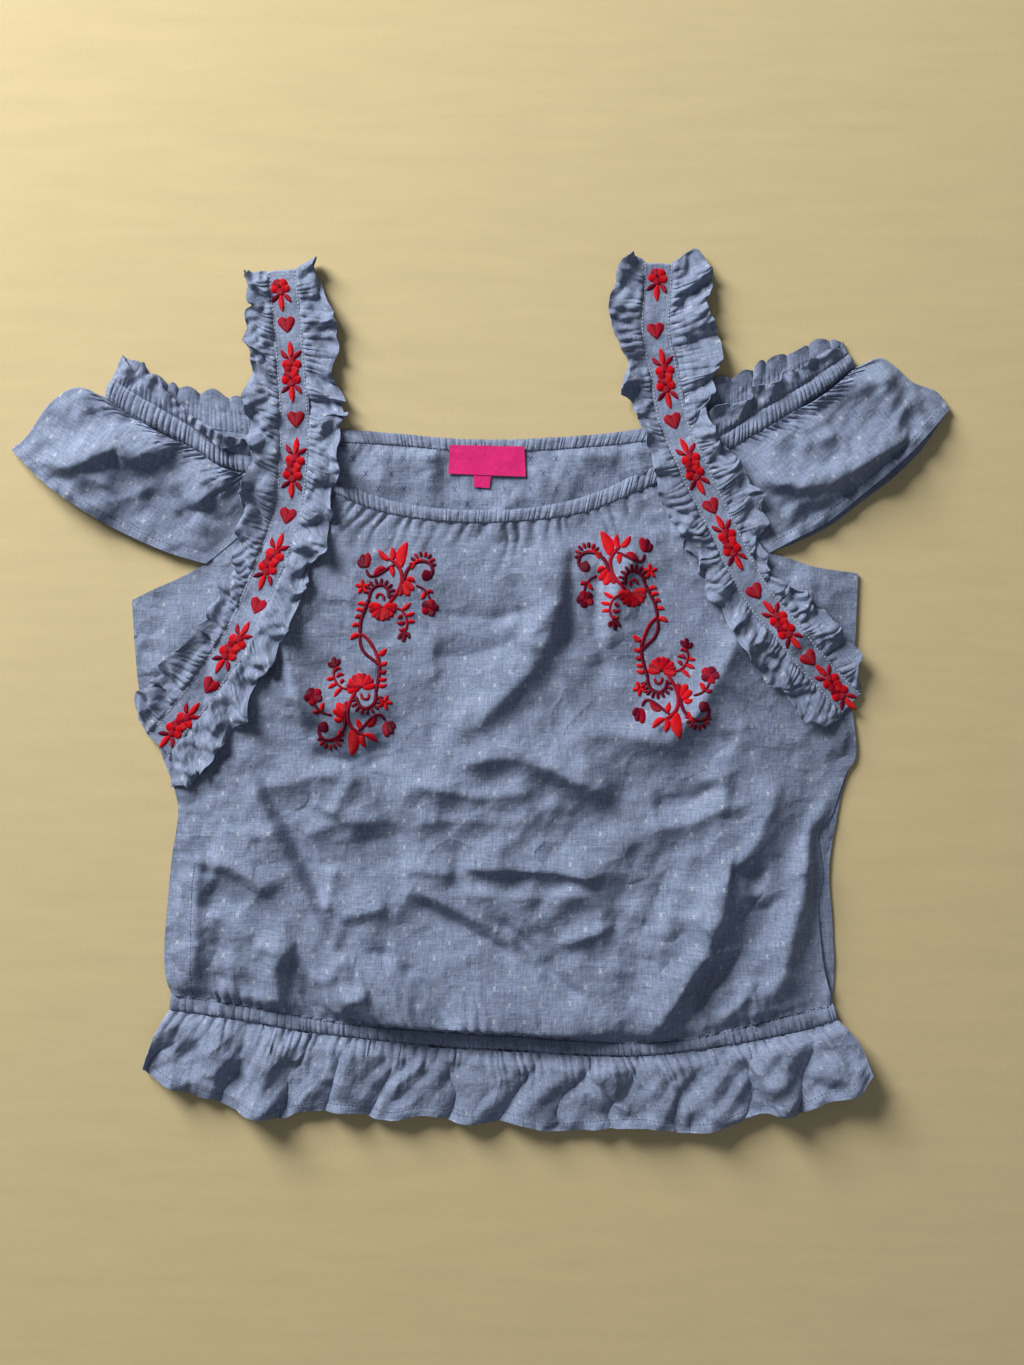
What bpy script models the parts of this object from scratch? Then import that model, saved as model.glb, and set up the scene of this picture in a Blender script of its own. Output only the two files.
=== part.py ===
"""Dirndl blouse laid flat, face up. Every cut or sewn piece is one closed cloth wall.

The tables are in millimetres: X to the wearer's left, Y from the hem towards the shoulders, and Z
up from the surface that the blouse lies on. The back lies on that surface, the front
lies on the back, and the shoulder straps lie on the front and fold over to the back at their tops.
"""

import math
from collections import namedtuple

import bmesh
import bpy
import numpy as np
from mathutils import Vector
from mathutils.bvhtree import BVHTree

MM = 0.001
CLOTH = 1.2
CASING_CLOTH = 1.8
BAND_CLOTH = 1.4
BAND_GAP = 0.9
CASING_CROWN = 0.8
CASING_RIB = 0.7
LAYER_GAP = 0.35
STRAP_GAP = 0.5
SEAM_INSET = 0.22
BACK_MIDDLE = CLOTH / 2
FRONT_MIDDLE = CLOTH + LAYER_GAP + CLOTH / 2
TAPE_WIDTH = 19.0
LABEL_CLOTH = 1.0
RAY_TOP = 80.0
LOWEST_RAISED = 0.3

CHAMBRAY = (0.245, 0.305, 0.44, 1.0)
CHAMBRAY_LIGHT = (0.29, 0.35, 0.48, 1.0)
LABEL_PINK = (0.80, 0.03, 0.16, 1.0)

Fold = namedtuple("Fold", "height left right route")
Strap = namedtuple("Strap", "side centre outer inner waves back_end ruffle_end")
Sleeve = namedtuple(
    "Sleeve", "side seam back_seam top hem back_top back_hem fold band band_back frill frill_back"
)

# Outlines: x, y along each edge. Lower is towards the waist.
FRONT_SEAM_LEFT = [(-112, 136), (-136, 114), (-155, 96), (-173, 81)]
BACK_SEAM_LEFT = [(-105, 155), (-127, 131), (-153, 103), (-173, 81)]
ARMHOLE_LEFT = [(-173, 81), (-190, 72), (-206, 65), (-220, 58)]
SIDE_LEFT = [(-220, 58), (-218, 27), (-214, -5), (-201, -40), (-191, -72), (-195, -107), (-198, -141),
             (-199, -170), (-195, -191)]
FRONT_SEAM_RIGHT = [(133, 143), (154, 122), (169, 104), (183, 88)]
BACK_SEAM_RIGHT = [(127, 160), (146, 136), (166, 109), (183, 88)]
ARMHOLE_RIGHT = [(183, 88), (197, 84), (212, 79), (239, 75)]
SIDE_RIGHT_FRONT = [(239, 75), (237, 27), (235, -5), (238, -38), (231, -53), (221, -81), (214, -91),
                    (217, -116), (214, -135), (217, -173), (223, -197)]
SIDE_RIGHT_BACK = [(239, 75), (237, 27), (235, -5), (236, -37), (228, -68), (221, -110), (223, -145),
                   (224, -173), (223, -197)]
NECK_FRONT_LOW = [(-112, 136), (-89, 124), (-61, 113), (-20, 107), (21, 107), (62, 112), (90, 122),
                  (117, 134), (133, 143)]
NECK_FRONT_TOP = [(-115, 146), (-89, 133), (-61, 122), (-27, 116), (15, 115), (49, 119), (76, 127),
                  (109, 142), (139, 153)]
NECK_BACK_LOW = [(-105, 155), (-83, 157), (-48, 155), (-13, 152), (31, 152), (76, 155), (104, 158),
                 (127, 160)]
NECK_BACK_TOP = [(-109, 166), (-85, 166), (-48, 163), (-13, 160), (28, 160), (76, 163), (104, 167),
                 (132, 170)]
WAIST_TOP = [(-195, -191), (-164, -195), (-125, -202), (-82, -209), (-37, -213), (25, -217), (51, -219),
             (95, -221), (136, -218), (170, -210), (223, -197)]
WAIST_LOW = [(-196, -201), (-155, -207), (-115, -214), (-75, -219), (-18, -225), (25, -227), (51, -229),
             (102, -230), (153, -224), (204, -214), (226, -207)]
PEPLUM_LEFT = [(-196, -201), (-205, -217), (-214, -238)]
PEPLUM_RIGHT = [(226, -207), (238, -220), (246, -240)]
HEM = [(-214, -238), (-194, -248), (-167, -257), (-141, -266), (-123, -268), (-112, -264), (-82, -264),
       (-58, -269), (-34, -266), (-8, -271), (17, -270), (44, -276), (68, -275), (100, -273), (131, -277),
       (153, -273), (170, -267), (184, -264), (197, -266), (217, -257), (236, -252), (246, -240)]

# The folds of the front. A route runs along the crest, and left and right are the widths of the
# slope on each side of it, seen along the route. A negative height is a valley.
FRONT_FOLDS = [
    Fold(5.0, 18, 9, [(53, 99), (50, 55), (28, 11), (3, -14), (-18, -33)]),
    Fold(-2.0, 8, 8, [(57, 88), (58, 50), (54, 22)]),
    Fold(3.5, 14, 11, [(-25, -49), (17, -41), (47, -51), (86, -68)]),
    Fold(6.0, 9, 16, [(-157, -39), (-146, -63), (-126, -100), (-113, -125), (-98, -155), (-65, -174)]),
    Fold(-2.5, 10, 10, [(-51, -66), (80, -67)]),
    Fold(-2.5, 10, 10, [(-12, -114), (80, -119)]),
    Fold(-3.0, 9, 9, [(-44, -124), (-15, -138), (8, -150)]),
    Fold(-3.0, 9, 9, [(1, -141), (22, -153), (40, -172), (58, -186)]),
    Fold(9.0, 22, 9, [(-50, -168), (22, -180), (53, -183), (82, -193), (97, -212)]),
    Fold(7.0, 12, 14, [(97, -210), (136, -163), (156, -116), (174, -94), (189, -61)]),
    Fold(-2.5, 9, 9, [(186, -131), (138, -183), (120, -207)]),
    Fold(4.5, 10, 10, [(208, -101), (193, -152), (169, -203)]),
    Fold(3.5, 12, 12, [(-150, 60), (-120, 20), (-105, -40)]),
    Fold(4.0, 12, 14, [(175, 60), (150, 10), (120, -40)]),
]
PEPLUM_CRESTS = [-196, -160, -122, -84, -52, -18, 10, 42, 74, 108, 140, 172, 205, 234]
SLEEVE_GATHERS = 9
FRILL_WAVES = 7
FRONT_ACROSS = 28
BACK_ACROSS = 24
SEAM_ROWS = 5
ARMHOLE_ROWS = 2
FRONT_SIDE_ROWS = 17
BACK_SIDE_ROWS = 4
SLEEVE_ACROSS = 11
DOME_HEIGHT = 3.5
DOME_EDGE = 38.0
FOLD_EDGE = 14.0
BACK_GATHERS = 12
BACK_GATHER_HEIGHT = 0.9
BACK_GATHER_LENGTH = 60.0
HEM_WAVE = 5.5
WAIST_WAVE = 1.0
SLEEVE_LIFT = 0.5
SLEEVE_PUFF = 1.5
SLEEVE_RIB = 0.8
FRILL_RISE = (0.6, 2.0, 3.6)
FRILL_BACK_RISE = (0.2, 0.8, 1.1)
RUFFLE_RISE = 4.5
RUFFLE_ROOT = 0.15
SHOULDER_LIFT = 0.9
BACK_RUFFLE_SHARE = 0.8
STRAP_REACH = 7.0

SLEEVES = [
    Sleeve(
        side="left",
        seam=FRONT_SEAM_LEFT,
        back_seam=BACK_SEAM_LEFT,
        top=[(-112, 136), (-138, 137), (-162, 142), (-180, 153), (-200, 164), (-219, 174), (-236, 186)],
        hem=[(-173, 81), (-191, 86), (-209, 93), (-230, 103), (-250, 115), (-273, 131), (-295, 152)],
        back_top=[(-105, 155), (-127, 160), (-149, 164), (-171, 167), (-193, 172), (-216, 179), (-236, 186)],
        back_hem=[(-173, 81), (-191, 86), (-209, 93), (-230, 103), (-250, 115), (-273, 131), (-295, 152)],
        fold=[(-238, 185), (-248, 191), (-258, 191), (-269, 184), (-276, 176), (-285, 162), (-295, 152)],
        band=[(-115, 146), (-145, 149), (-161, 153), (-174, 162), (-190, 172), (-209, 183), (-232, 197)],
        band_back=[(-109, 166), (-128, 170), (-149, 175), (-171, 178), (-193, 183), (-214, 188), (-232, 197)],
        frill=[(-120, 158), (-138, 162), (-152, 162), (-168, 171), (-183, 182), (-200, 195), (-225, 212)],
        frill_back=[(-114, 178), (-130, 182), (-149, 186), (-171, 190), (-188, 192), (-204, 200),
                    (-225, 212)],
    ),
    Sleeve(
        side="right",
        seam=FRONT_SEAM_RIGHT,
        back_seam=BACK_SEAM_RIGHT,
        top=[(133, 143), (153, 150), (170, 160), (187, 170), (206, 182), (223, 194), (236, 206)],
        hem=[(183, 88), (200, 97), (219, 107), (238, 122), (257, 138), (276, 156), (296, 178)],
        back_top=[(127, 160), (147, 166), (165, 176), (183, 185), (202, 193), (221, 200), (236, 206)],
        back_hem=[(183, 88), (201, 95), (221, 105), (241, 120), (262, 136), (280, 154), (296, 178)],
        fold=[(238, 205), (252, 210), (262, 205), (273, 195), (288, 189), (296, 178)],
        band=[(139, 153), (153, 162), (165, 170), (179, 179), (198, 190), (216, 202), (232, 213)],
        band_back=[(132, 170), (145, 178), (160, 186), (178, 195), (197, 203), (216, 210), (232, 213)],
        frill=[(141, 172), (150, 180), (164, 185), (176, 194), (191, 203), (209, 213), (229, 221)],
        frill_back=[(133, 190), (150, 199), (166, 202), (183, 210), (199, 216), (217, 223), (229, 221)],
    ),
]
SLEEVE_FOLDS = [
    Fold(3.5, 10, 10, [(-185, 150), (-215, 135), (-245, 118)]),
    Fold(3.0, 9, 9, [(-262, 180), (-250, 160), (-262, 142)]),
    Fold(3.0, 10, 10, [(-205, 160), (-228, 158), (-240, 165)]),
    Fold(3.5, 10, 10, [(180, 146), (222, 138), (262, 168)]),
    Fold(3.0, 9, 9, [(215, 178), (247, 183), (275, 176)]),
    Fold(3.0, 9, 9, [(196, 112), (214, 122), (236, 150)]),
]

# The centre of each strap's tape and the free edges of its two ruffles, from the shoulder fold down.
# back_end is how far down the tape's back stretch reaches, and ruffle_end the ruffles'.
STRAPS = [
    Strap(
        side="left",
        centre=[(-125, 265), (-122, 235), (-119, 201), (-117, 170), (-118, 134), (-124, 103), (-138, 65),
                (-150, 38), (-164, 16), (-178, -4), (-203, -33)],
        outer=[(-148, 264), (-149, 256), (-143, 244), (-148, 235), (-148, 222), (-143, 209), (-149, 191),
               (-148, 183), (-145, 160), (-147, 141), (-148, 127), (-150, 112), (-153, 98), (-154, 84),
               (-162, 70), (-174, 44), (-188, 29), (-197, 20), (-206, 6), (-216, 0), (-219, -14)],
        inner=[(-103, 270), (-100, 260), (-94, 247), (-89, 223), (-93, 204), (-87, 191), (-85, 172),
               (-89, 156), (-88, 140), (-93, 125), (-92, 115), (-98, 89), (-107, 76), (-110, 61),
               (-117, 46), (-125, 27), (-132, 16), (-140, 2), (-143, -12), (-157, -28), (-171, -47),
               (-181, -57), (-194, -62)],
        waves=19,
        back_end=184,
        ruffle_end=198,
    ),
    Strap(
        side="right",
        centre=[(113, 270), (112, 249), (111, 228), (117, 198), (122, 171), (134, 142), (146, 117),
                (157, 94), (173, 63), (190, 42), (207, 21), (224, 3), (234, -7)],
        outer=[(141, 276), (145, 270), (147, 261), (142, 245), (151, 225), (150, 205), (142, 176),
               (155, 155), (169, 136), (176, 124), (178, 105), (176, 92), (184, 76), (211, 58), (223, 44),
               (234, 32), (238, 16), (243, 4)],
        inner=[(93, 273), (84, 262), (84, 235), (88, 219), (92, 210), (89, 191), (94, 184), (100, 173),
               (103, 165), (109, 142), (114, 119), (118, 112), (124, 101), (137, 79), (141, 66),
               (155, 46), (163, 27), (190, -2), (204, -16), (212, -22), (225, -18)],
        waves=18,
        back_end=176,
        ruffle_end=204,
    ),
]

LABEL_CORNERS = [(-19, 156), (28, 155), (29, 136), (-20, 138)]
TAB_CORNERS = [(-4, 137), (7, 136.5), (6, 129), (-3.5, 129.5)]

ALL_SIDES = ("first", "last", "left", "right")

carriers = {}


def clear_scene():
    for thing in list(bpy.data.objects):
        bpy.data.objects.remove(thing)


def material(name, colour, roughness):
    made = bpy.data.materials.new(name)
    made.use_nodes = True
    shader = made.node_tree.nodes["Principled BSDF"]
    shader.inputs["Base Color"].default_value = colour
    shader.inputs["Roughness"].default_value = roughness
    return made


def smooth_route(points):
    """Many points along a soft curve through the given ones."""
    given = np.array(points, float)
    slopes = np.gradient(given, axis=0)
    steps = np.linspace(0, 1, 12, endpoint=False)[:, None]
    pieces = []
    for start, end, out, into in zip(given[:-1], given[1:], slopes[:-1], slopes[1:]):
        square, cube = steps**2, steps**3
        pieces.append(
            (2 * cube - 3 * square + 1) * start
            + (cube - 2 * square + steps) * out
            + (3 * square - 2 * cube) * end
            + (cube - square) * into
        )
    return np.vstack(pieces + [given[-1:]])


def along(points, fractions, soft=True):
    """The places at these fractions of a route's length."""
    route = smooth_route(points) if soft else np.array(points, float)
    steps = np.linalg.norm(np.diff(route, axis=0), axis=1)
    reached = np.concatenate([[0], np.cumsum(steps)]) / steps.sum()
    return np.stack([np.interp(fractions, reached, route[:, axis]) for axis in (0, 1)], axis=1)


def edge_of(parts):
    """The points of an edge made of stretches, each a route and its number of steps."""
    points = [along(route, np.linspace(0, 1, steps + 1)) for route, steps in parts]
    return np.vstack([points[0]] + [stretch[1:] for stretch in points[1:]])


def reached_of(points):
    lengths = np.linalg.norm(np.diff(points, axis=0), axis=1)
    return np.concatenate([[0], np.cumsum(lengths)]) / lengths.sum()


def patch(top, bottom, left, right, across):
    """Rows of x, y filling the area inside four edges, as a Coons patch."""
    u = np.linspace(0, 1, across + 1)
    upper, lower = along(top, u), along(bottom, u)
    first, last = edge_of(left), edge_of(right)
    v = (reached_of(first) + reached_of(last)) / 2
    u, v = u[None, :, None], v[:, None, None]
    ruled = (1 - v) * upper[None] + v * lower[None] + (1 - u) * first[:, None] + u * last[:, None]
    corners = (1 - v) * ((1 - u) * upper[0] + u * upper[-1]) + v * ((1 - u) * lower[0] + u * lower[-1])
    return ruled - corners


def chords(route, count, parts):
    """Points on the straight chords of a soft route, so that a piece with the same chords meets it."""
    places = along(route, np.linspace(0, 1, count + 1))
    fine = np.linspace(0, count, count * parts + 1)
    return np.stack([np.interp(fine, np.arange(count + 1), places[:, axis]) for axis in (0, 1)], axis=1)


def strip(low, high, count, parts, across_count):
    """Rows of x, y between two edges that run the same way."""
    lower, upper = chords(low, count, parts), chords(high, count, parts)
    rows = np.linspace(0, 1, across_count + 1)[:, None, None]
    return (1 - rows) * lower[None] + rows * upper[None]


def inset(flat, sides):
    """Moves the named edges of a grid in by half a seam's gap."""
    moved = flat.copy()
    edges = {"first": (0, 1, 0), "last": (-1, -2, 0), "left": (0, 1, 1), "right": (-1, -2, 1)}
    for side in sides:
        edge, inner, axis = edges[side]
        away = np.take(flat, inner, axis) - np.take(flat, edge, axis)
        away = away / np.linalg.norm(away, axis=1, keepdims=True)
        if axis == 0:
            moved[edge] += away * SEAM_INSET
        else:
            moved[:, edge] += away * SEAM_INSET
    return moved


def ease(value):
    value = np.clip(value, 0, 1)
    return value * value * (3 - 2 * value)


def fold_height(flat, fold):
    """The height that one fold adds at each place: a crest with two soft slopes."""
    best = np.full(flat.shape[:-1], np.inf)
    side = np.zeros(flat.shape[:-1])
    reached = np.zeros(flat.shape[:-1])
    route = np.array(fold.route, float)
    lengths = np.linalg.norm(np.diff(route, axis=0), axis=1)
    done = 0.0
    for start, end, length in zip(route[:-1], route[1:], lengths):
        way = (end - start) / length
        ahead = np.clip((flat - start) @ way, 0, length)
        off = flat - (start + ahead[..., None] * way)
        distance = np.linalg.norm(off, axis=-1)
        turn = way[0] * off[..., 1] - way[1] * off[..., 0]
        nearer = distance < best
        best = np.where(nearer, distance, best)
        side = np.where(nearer, turn, side)
        reached = np.where(nearer, done + ahead, reached)
        done += length
    width = np.where(side > 0, fold.left, fold.right)
    ends = ease(reached / (0.3 * done)) * ease((done - reached) / (0.3 * done))
    return fold.height * ends * np.exp(-((best / width) ** 2))


def edge_distance(flat, outline):
    """The distance from each place to the nearest point of an outline."""
    rim = smooth_route(outline)
    return np.linalg.norm(flat[..., None, :] - rim, axis=-1).min(axis=-1)


def carried(flat, names, reach):
    """The highest point of the named pieces within reach of each place, or zero on the surface."""
    around = [(0.0, 0.0)]
    for ring in (0.5, 1.0):
        around += [
            (ring * reach * math.cos(turn * math.pi / 4), ring * reach * math.sin(turn * math.pi / 4))
            for turn in range(8)
        ]
    heights = np.zeros(flat.shape[:-1])
    for index in np.ndindex(heights.shape):
        x, y = flat[index]
        for name in names:
            for shift_x, shift_y in around:
                start = Vector((x + shift_x, y + shift_y, RAY_TOP))
                hit = carriers[name].ray_cast(start, Vector((0, 0, -1)))[0]
                if hit is not None:
                    heights[index] = max(heights[index], hit.z)
    return heights


def raised(flat, height):
    return np.concatenate([flat, height[..., None]], axis=-1)


def turn_under(front, back, arc=3):
    """Joins a front and a back layer round the fold at their last columns."""
    outward = front[:, -1, :2] - front[:, -2, :2]
    outward = outward / np.linalg.norm(outward, axis=1, keepdims=True)
    top, low = front[:, -1], back[:, -1]
    radius = (top[:, 2] - low[:, 2]) / 2
    columns = []
    for step in range(1, arc + 1):
        angle = math.pi * step / (arc + 1)
        spot = top * (1 + math.cos(angle)) / 2 + low * (1 - math.cos(angle)) / 2
        spot[:, :2] += outward * (radius * math.sin(angle))[:, None]
        columns.append(spot)
    return np.concatenate([front, np.stack(columns, axis=1), back[:, ::-1]], axis=1)


def normals_of(middle):
    down = np.gradient(middle, axis=0)
    across = np.gradient(middle, axis=1)
    normal = np.cross(across, down)
    normal /= np.linalg.norm(normal, axis=2, keepdims=True)
    half = normal.shape[1] // 3
    return normal if normal[:, :half, 2].sum() > 0 else -normal


def upright(normal, sides):
    """Turns the normals at the named edges straight up or down, so that seams meet squarely."""
    places = {"first": np.s_[0, :], "last": np.s_[-1, :], "left": np.s_[:, 0], "right": np.s_[:, -1]}
    for side in sides:
        spot = places[side]
        turned = np.zeros_like(normal[spot])
        turned[..., 2] = np.where(normal[spot][..., 2] < -0.5, -1, 1)
        flat_enough = np.abs(normal[spot][..., 2:]) > 0.3
        normal[spot] = np.where(flat_enough, turned, normal[spot])
    return normal


def wall(name, middle, colour, cloth=CLOTH, seams=(), flat_under=False):
    """One closed cloth wall round a middle surface of rows and columns of points."""
    normal = upright(normals_of(middle), seams)
    high = middle + normal * cloth / 2
    low = middle - normal * cloth / 2
    if flat_under:
        low[..., 2] = 0
    for skin in (high, low):
        skin[..., 2] = np.where(skin[..., 2] < LOWEST_RAISED, 0, skin[..., 2])
    rows, columns = middle.shape[:2]
    points = np.concatenate([high.reshape(-1, 3), low.reshape(-1, 3)])
    under = rows * columns
    faces = []
    for row in range(rows - 1):
        for column in range(columns - 1):
            a = row * columns + column
            b, c, d = a + 1, a + columns + 1, a + columns
            faces.append((a, b, c, d))
            faces.append((under + a, under + d, under + c, under + b))
    rim = [(0, column) for column in range(columns)]
    rim += [(row, columns - 1) for row in range(1, rows)]
    rim += [(rows - 1, column) for column in range(columns - 2, -1, -1)]
    rim += [(row, 0) for row in range(rows - 2, 0, -1)]
    rim = [row * columns + column for row, column in rim]
    for here, after in zip(rim, rim[1:] + rim[:1]):
        faces.append((after, here, under + here, under + after))
    mesh = bpy.data.meshes.new(name)
    mesh.from_pydata((points * MM).tolist(), [], faces)
    shape = bmesh.new()
    shape.from_mesh(mesh)
    bmesh.ops.recalc_face_normals(shape, faces=shape.faces)
    if shape.calc_volume(signed=True) < 0:
        bmesh.ops.reverse_faces(shape, faces=shape.faces)
    shape.to_mesh(mesh)
    shape.free()
    mesh.shade_smooth()
    mesh.set_sharp_from_angle(angle=math.radians(60))
    thing = bpy.data.objects.new(name, mesh)
    bpy.context.scene.collection.objects.link(thing)
    thing.data.materials.append(material(name, colour, 0.85))
    carriers[name] = BVHTree.FromPolygons(points.tolist(), faces)
    return thing


def gathers(columns, count):
    """0 to 1 along a row: even small ribs, none at the two ends."""
    place = np.linspace(0, count, columns)
    return 0.5 - 0.5 * np.cos(2 * math.pi * place)


def back_panel():
    left = [(BACK_SEAM_LEFT, SEAM_ROWS), (ARMHOLE_LEFT, ARMHOLE_ROWS), (SIDE_LEFT, BACK_SIDE_ROWS)]
    right = [(BACK_SEAM_RIGHT, SEAM_ROWS), (ARMHOLE_RIGHT, ARMHOLE_ROWS), (SIDE_RIGHT_BACK, BACK_SIDE_ROWS)]
    flat = patch(NECK_BACK_LOW, WAIST_TOP, left, right, BACK_ACROSS)
    flat = inset(flat, ("first", "last", "left", "right"))
    near_neck = ease(1 - edge_distance(flat, NECK_BACK_LOW) / BACK_GATHER_LENGTH)
    rows = gathers(flat.shape[1], BACK_GATHERS)[None, :]
    height = BACK_MIDDLE + BACK_GATHER_HEIGHT * near_neck * rows
    wall("back_panel", raised(flat, height), CHAMBRAY, seams=ALL_SIDES, flat_under=True)


def front_panel():
    left = [(FRONT_SEAM_LEFT, SEAM_ROWS), (ARMHOLE_LEFT, ARMHOLE_ROWS), (SIDE_LEFT, FRONT_SIDE_ROWS)]
    right = [(FRONT_SEAM_RIGHT, SEAM_ROWS), (ARMHOLE_RIGHT, ARMHOLE_ROWS)]
    right.append((SIDE_RIGHT_FRONT, FRONT_SIDE_ROWS))
    flat = patch(NECK_FRONT_LOW, WAIST_TOP, left, right, FRONT_ACROSS)
    flat = inset(flat, ("first", "last", "left", "right"))
    edges = [NECK_FRONT_LOW, WAIST_TOP] + [route for route, rows in left + right]
    inward = np.min([edge_distance(flat, edge) for edge in edges], axis=0)
    height = DOME_HEIGHT * ease(inward / DOME_EDGE)
    height += sum(fold_height(flat, fold) for fold in FRONT_FOLDS) * ease(inward / FOLD_EDGE)
    height = FRONT_MIDDLE + np.maximum(height, 0)
    rest = carried(flat, ["back_panel"], 6) + LAYER_GAP + CLOTH / 2
    wall("front_panel", raised(flat, np.maximum(height, rest)), CHAMBRAY, seams=ALL_SIDES)


def casing(name, low, top, count, on, ends, across=2):
    """A ribbed strip: cloth gathered over an elastic, highest along its middle."""
    flat = inset(strip(low, top, count, 2, across), ("first", "last") + ends)
    crown = CASING_CROWN * np.sin(np.linspace(0, math.pi, across + 1))[:, None]
    rest = np.maximum(carried(flat, on, 4), CLOTH) + LAYER_GAP if on else np.zeros(flat.shape[:-1])
    height = rest + CASING_CLOTH / 2 + crown + CASING_RIB * gathers(flat.shape[1], count)[None, :]
    wall(name, raised(flat, height), CHAMBRAY_LIGHT, cloth=CASING_CLOTH, seams=ALL_SIDES, flat_under=not on)


def peplum_wave(x):
    """0 in the troughs and 1 on the crests that the table places."""
    crests = np.array(PEPLUM_CRESTS, float)
    phase = np.interp(x, crests, np.arange(len(crests)))
    return 0.5 + 0.5 * np.cos(2 * math.pi * phase)


def peplum(name, on_back):
    rows = 3 if on_back else 2
    across = FRONT_ACROSS * 2 if on_back else BACK_ACROSS
    flat = patch(WAIST_LOW, HEM, [(PEPLUM_LEFT, rows)], [(PEPLUM_RIGHT, rows)], across)
    flat = inset(flat, ("first",))
    fall = np.linspace(0, 1, rows + 1)[:, None]
    if not on_back:
        height = np.full(flat.shape[:-1], BACK_MIDDLE)
        wall(name, raised(flat, height), CHAMBRAY, seams=("first",), flat_under=True)
        return
    rise = WAIST_WAVE + (HEM_WAVE - WAIST_WAVE) * fall
    height = FRONT_MIDDLE + rise * peplum_wave(flat[..., 0])
    wall(name, raised(flat, height), CHAMBRAY, seams=("first",))


def sleeve(cut):
    """The sleeve, its casing and its frill: each goes round the outer fold from front to back."""
    name = f"sleeve_{cut.side}"
    top = cut.top[:-1] + cut.fold[:1]
    back_top = cut.back_top[:-1] + cut.fold[:1]
    fold = [(cut.fold, SEAM_ROWS)]
    front = patch(top, cut.hem, [(cut.seam, SEAM_ROWS)], fold, SLEEVE_ACROSS)
    front = inset(front, ("first", "left"))
    puff = ease(edge_distance(front, cut.seam) / 25) * ease(edge_distance(front, cut.fold) / 20)
    folds = sum(np.maximum(fold_height(front, fold), 0) for fold in SLEEVE_FOLDS)
    height = FRONT_MIDDLE + SLEEVE_LIFT + (SLEEVE_PUFF + folds) * puff
    back = patch(back_top, cut.back_hem, [(cut.back_seam, SEAM_ROWS)], fold, SLEEVE_ACROSS)
    back = inset(back, ("first", "left"))
    under = np.full(back.shape[:-1], BACK_MIDDLE)
    layers = turn_under(raised(front, height), raised(back, under))
    wall(name, layers, CHAMBRAY, seams=("first", "left", "right"))

    band = inset(strip(cut.top, cut.band, SLEEVE_GATHERS * 2, 1, 1), ("first", "last", "left"))
    band_back = inset(strip(cut.back_top, cut.band_back, SLEEVE_GATHERS * 2, 1, 1), ("first", "last", "left"))
    ribs = SLEEVE_RIB * gathers(band.shape[1], SLEEVE_GATHERS)[None, :]
    high = BAND_CLOTH * 1.5 + BAND_GAP + ribs + np.zeros(band.shape[:-1])
    low = np.full(band.shape[:-1], BAND_CLOTH / 2)
    wall(f"{name}_casing", turn_under(raised(band, high), raised(band_back, low)), CHAMBRAY_LIGHT,
         cloth=BAND_CLOTH, seams=ALL_SIDES)

    frill = inset(strip(cut.band, cut.frill, FRILL_WAVES * 4, 1, 2), ("first", "left"))
    frill_back = inset(strip(cut.band_back, cut.frill_back, FRILL_WAVES * 4, 1, 2), ("first", "left"))
    wave = gathers(frill.shape[1], FRILL_WAVES)[None, :]
    rise = np.array(FRILL_RISE)[:, None]
    back_rise = np.array(FRILL_BACK_RISE)[:, None]
    high = FRONT_MIDDLE + back_rise.max() + rise * wave
    low = BACK_MIDDLE + back_rise * wave
    wall(f"{name}_frill", turn_under(raised(frill, high), raised(frill_back, low)), CHAMBRAY,
         seams=("first", "left", "right"))


def smoothed(heights, passes):
    """Softens heights along a strap and never lowers them under the ones given."""
    soft = heights.copy()
    for _ in range(passes):
        padded = np.concatenate([soft[:1], soft, soft[-1:]])
        soft = np.maximum(heights, (padded[:-2] + padded[1:-1] + padded[2:]) / 3)
    return soft


def strap_layers(first, second, waves, end_y, on):
    """The middle surface of one strip of a strap between two edges that run down from the shoulder.

    Its columns run up the front stretch, round the shoulder fold and down the back stretch to end_y.
    """
    share = np.linspace(0, 1, 3)[:, None, None]
    flat = (1 - share) * first[None] + share * second[None]
    flat = inset(flat[:, ::-1], ("first",) if waves else ("first", "last"))
    over_back = np.where(flat[..., 1] > end_y - STRAP_REACH, CLOTH + SHOULDER_LIFT, 0)
    rest = np.maximum(carried(flat, on, STRAP_REACH), over_back) + STRAP_GAP + CLOTH / 2
    rest = smoothed(rest.T, 4).T
    if waves:
        rise = RUFFLE_RISE * np.linspace(RUFFLE_ROOT, 1, 3)[:, None]
        rest = rest + rise * gathers(flat.shape[1], waves)[None, :]
    front = raised(flat, rest)
    step = 4 if waves else 2
    behind = flat[:, ::-1][:, ::step]
    behind = behind[:, behind[..., 1].min(axis=0) > end_y]
    if waves:
        behind = behind[:1] + (behind - behind[:1]) * BACK_RUFFLE_SHARE
    back = raised(behind, np.full(behind.shape[:-1], BACK_MIDDLE))
    return turn_under(front, back[:, ::-1])


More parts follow.
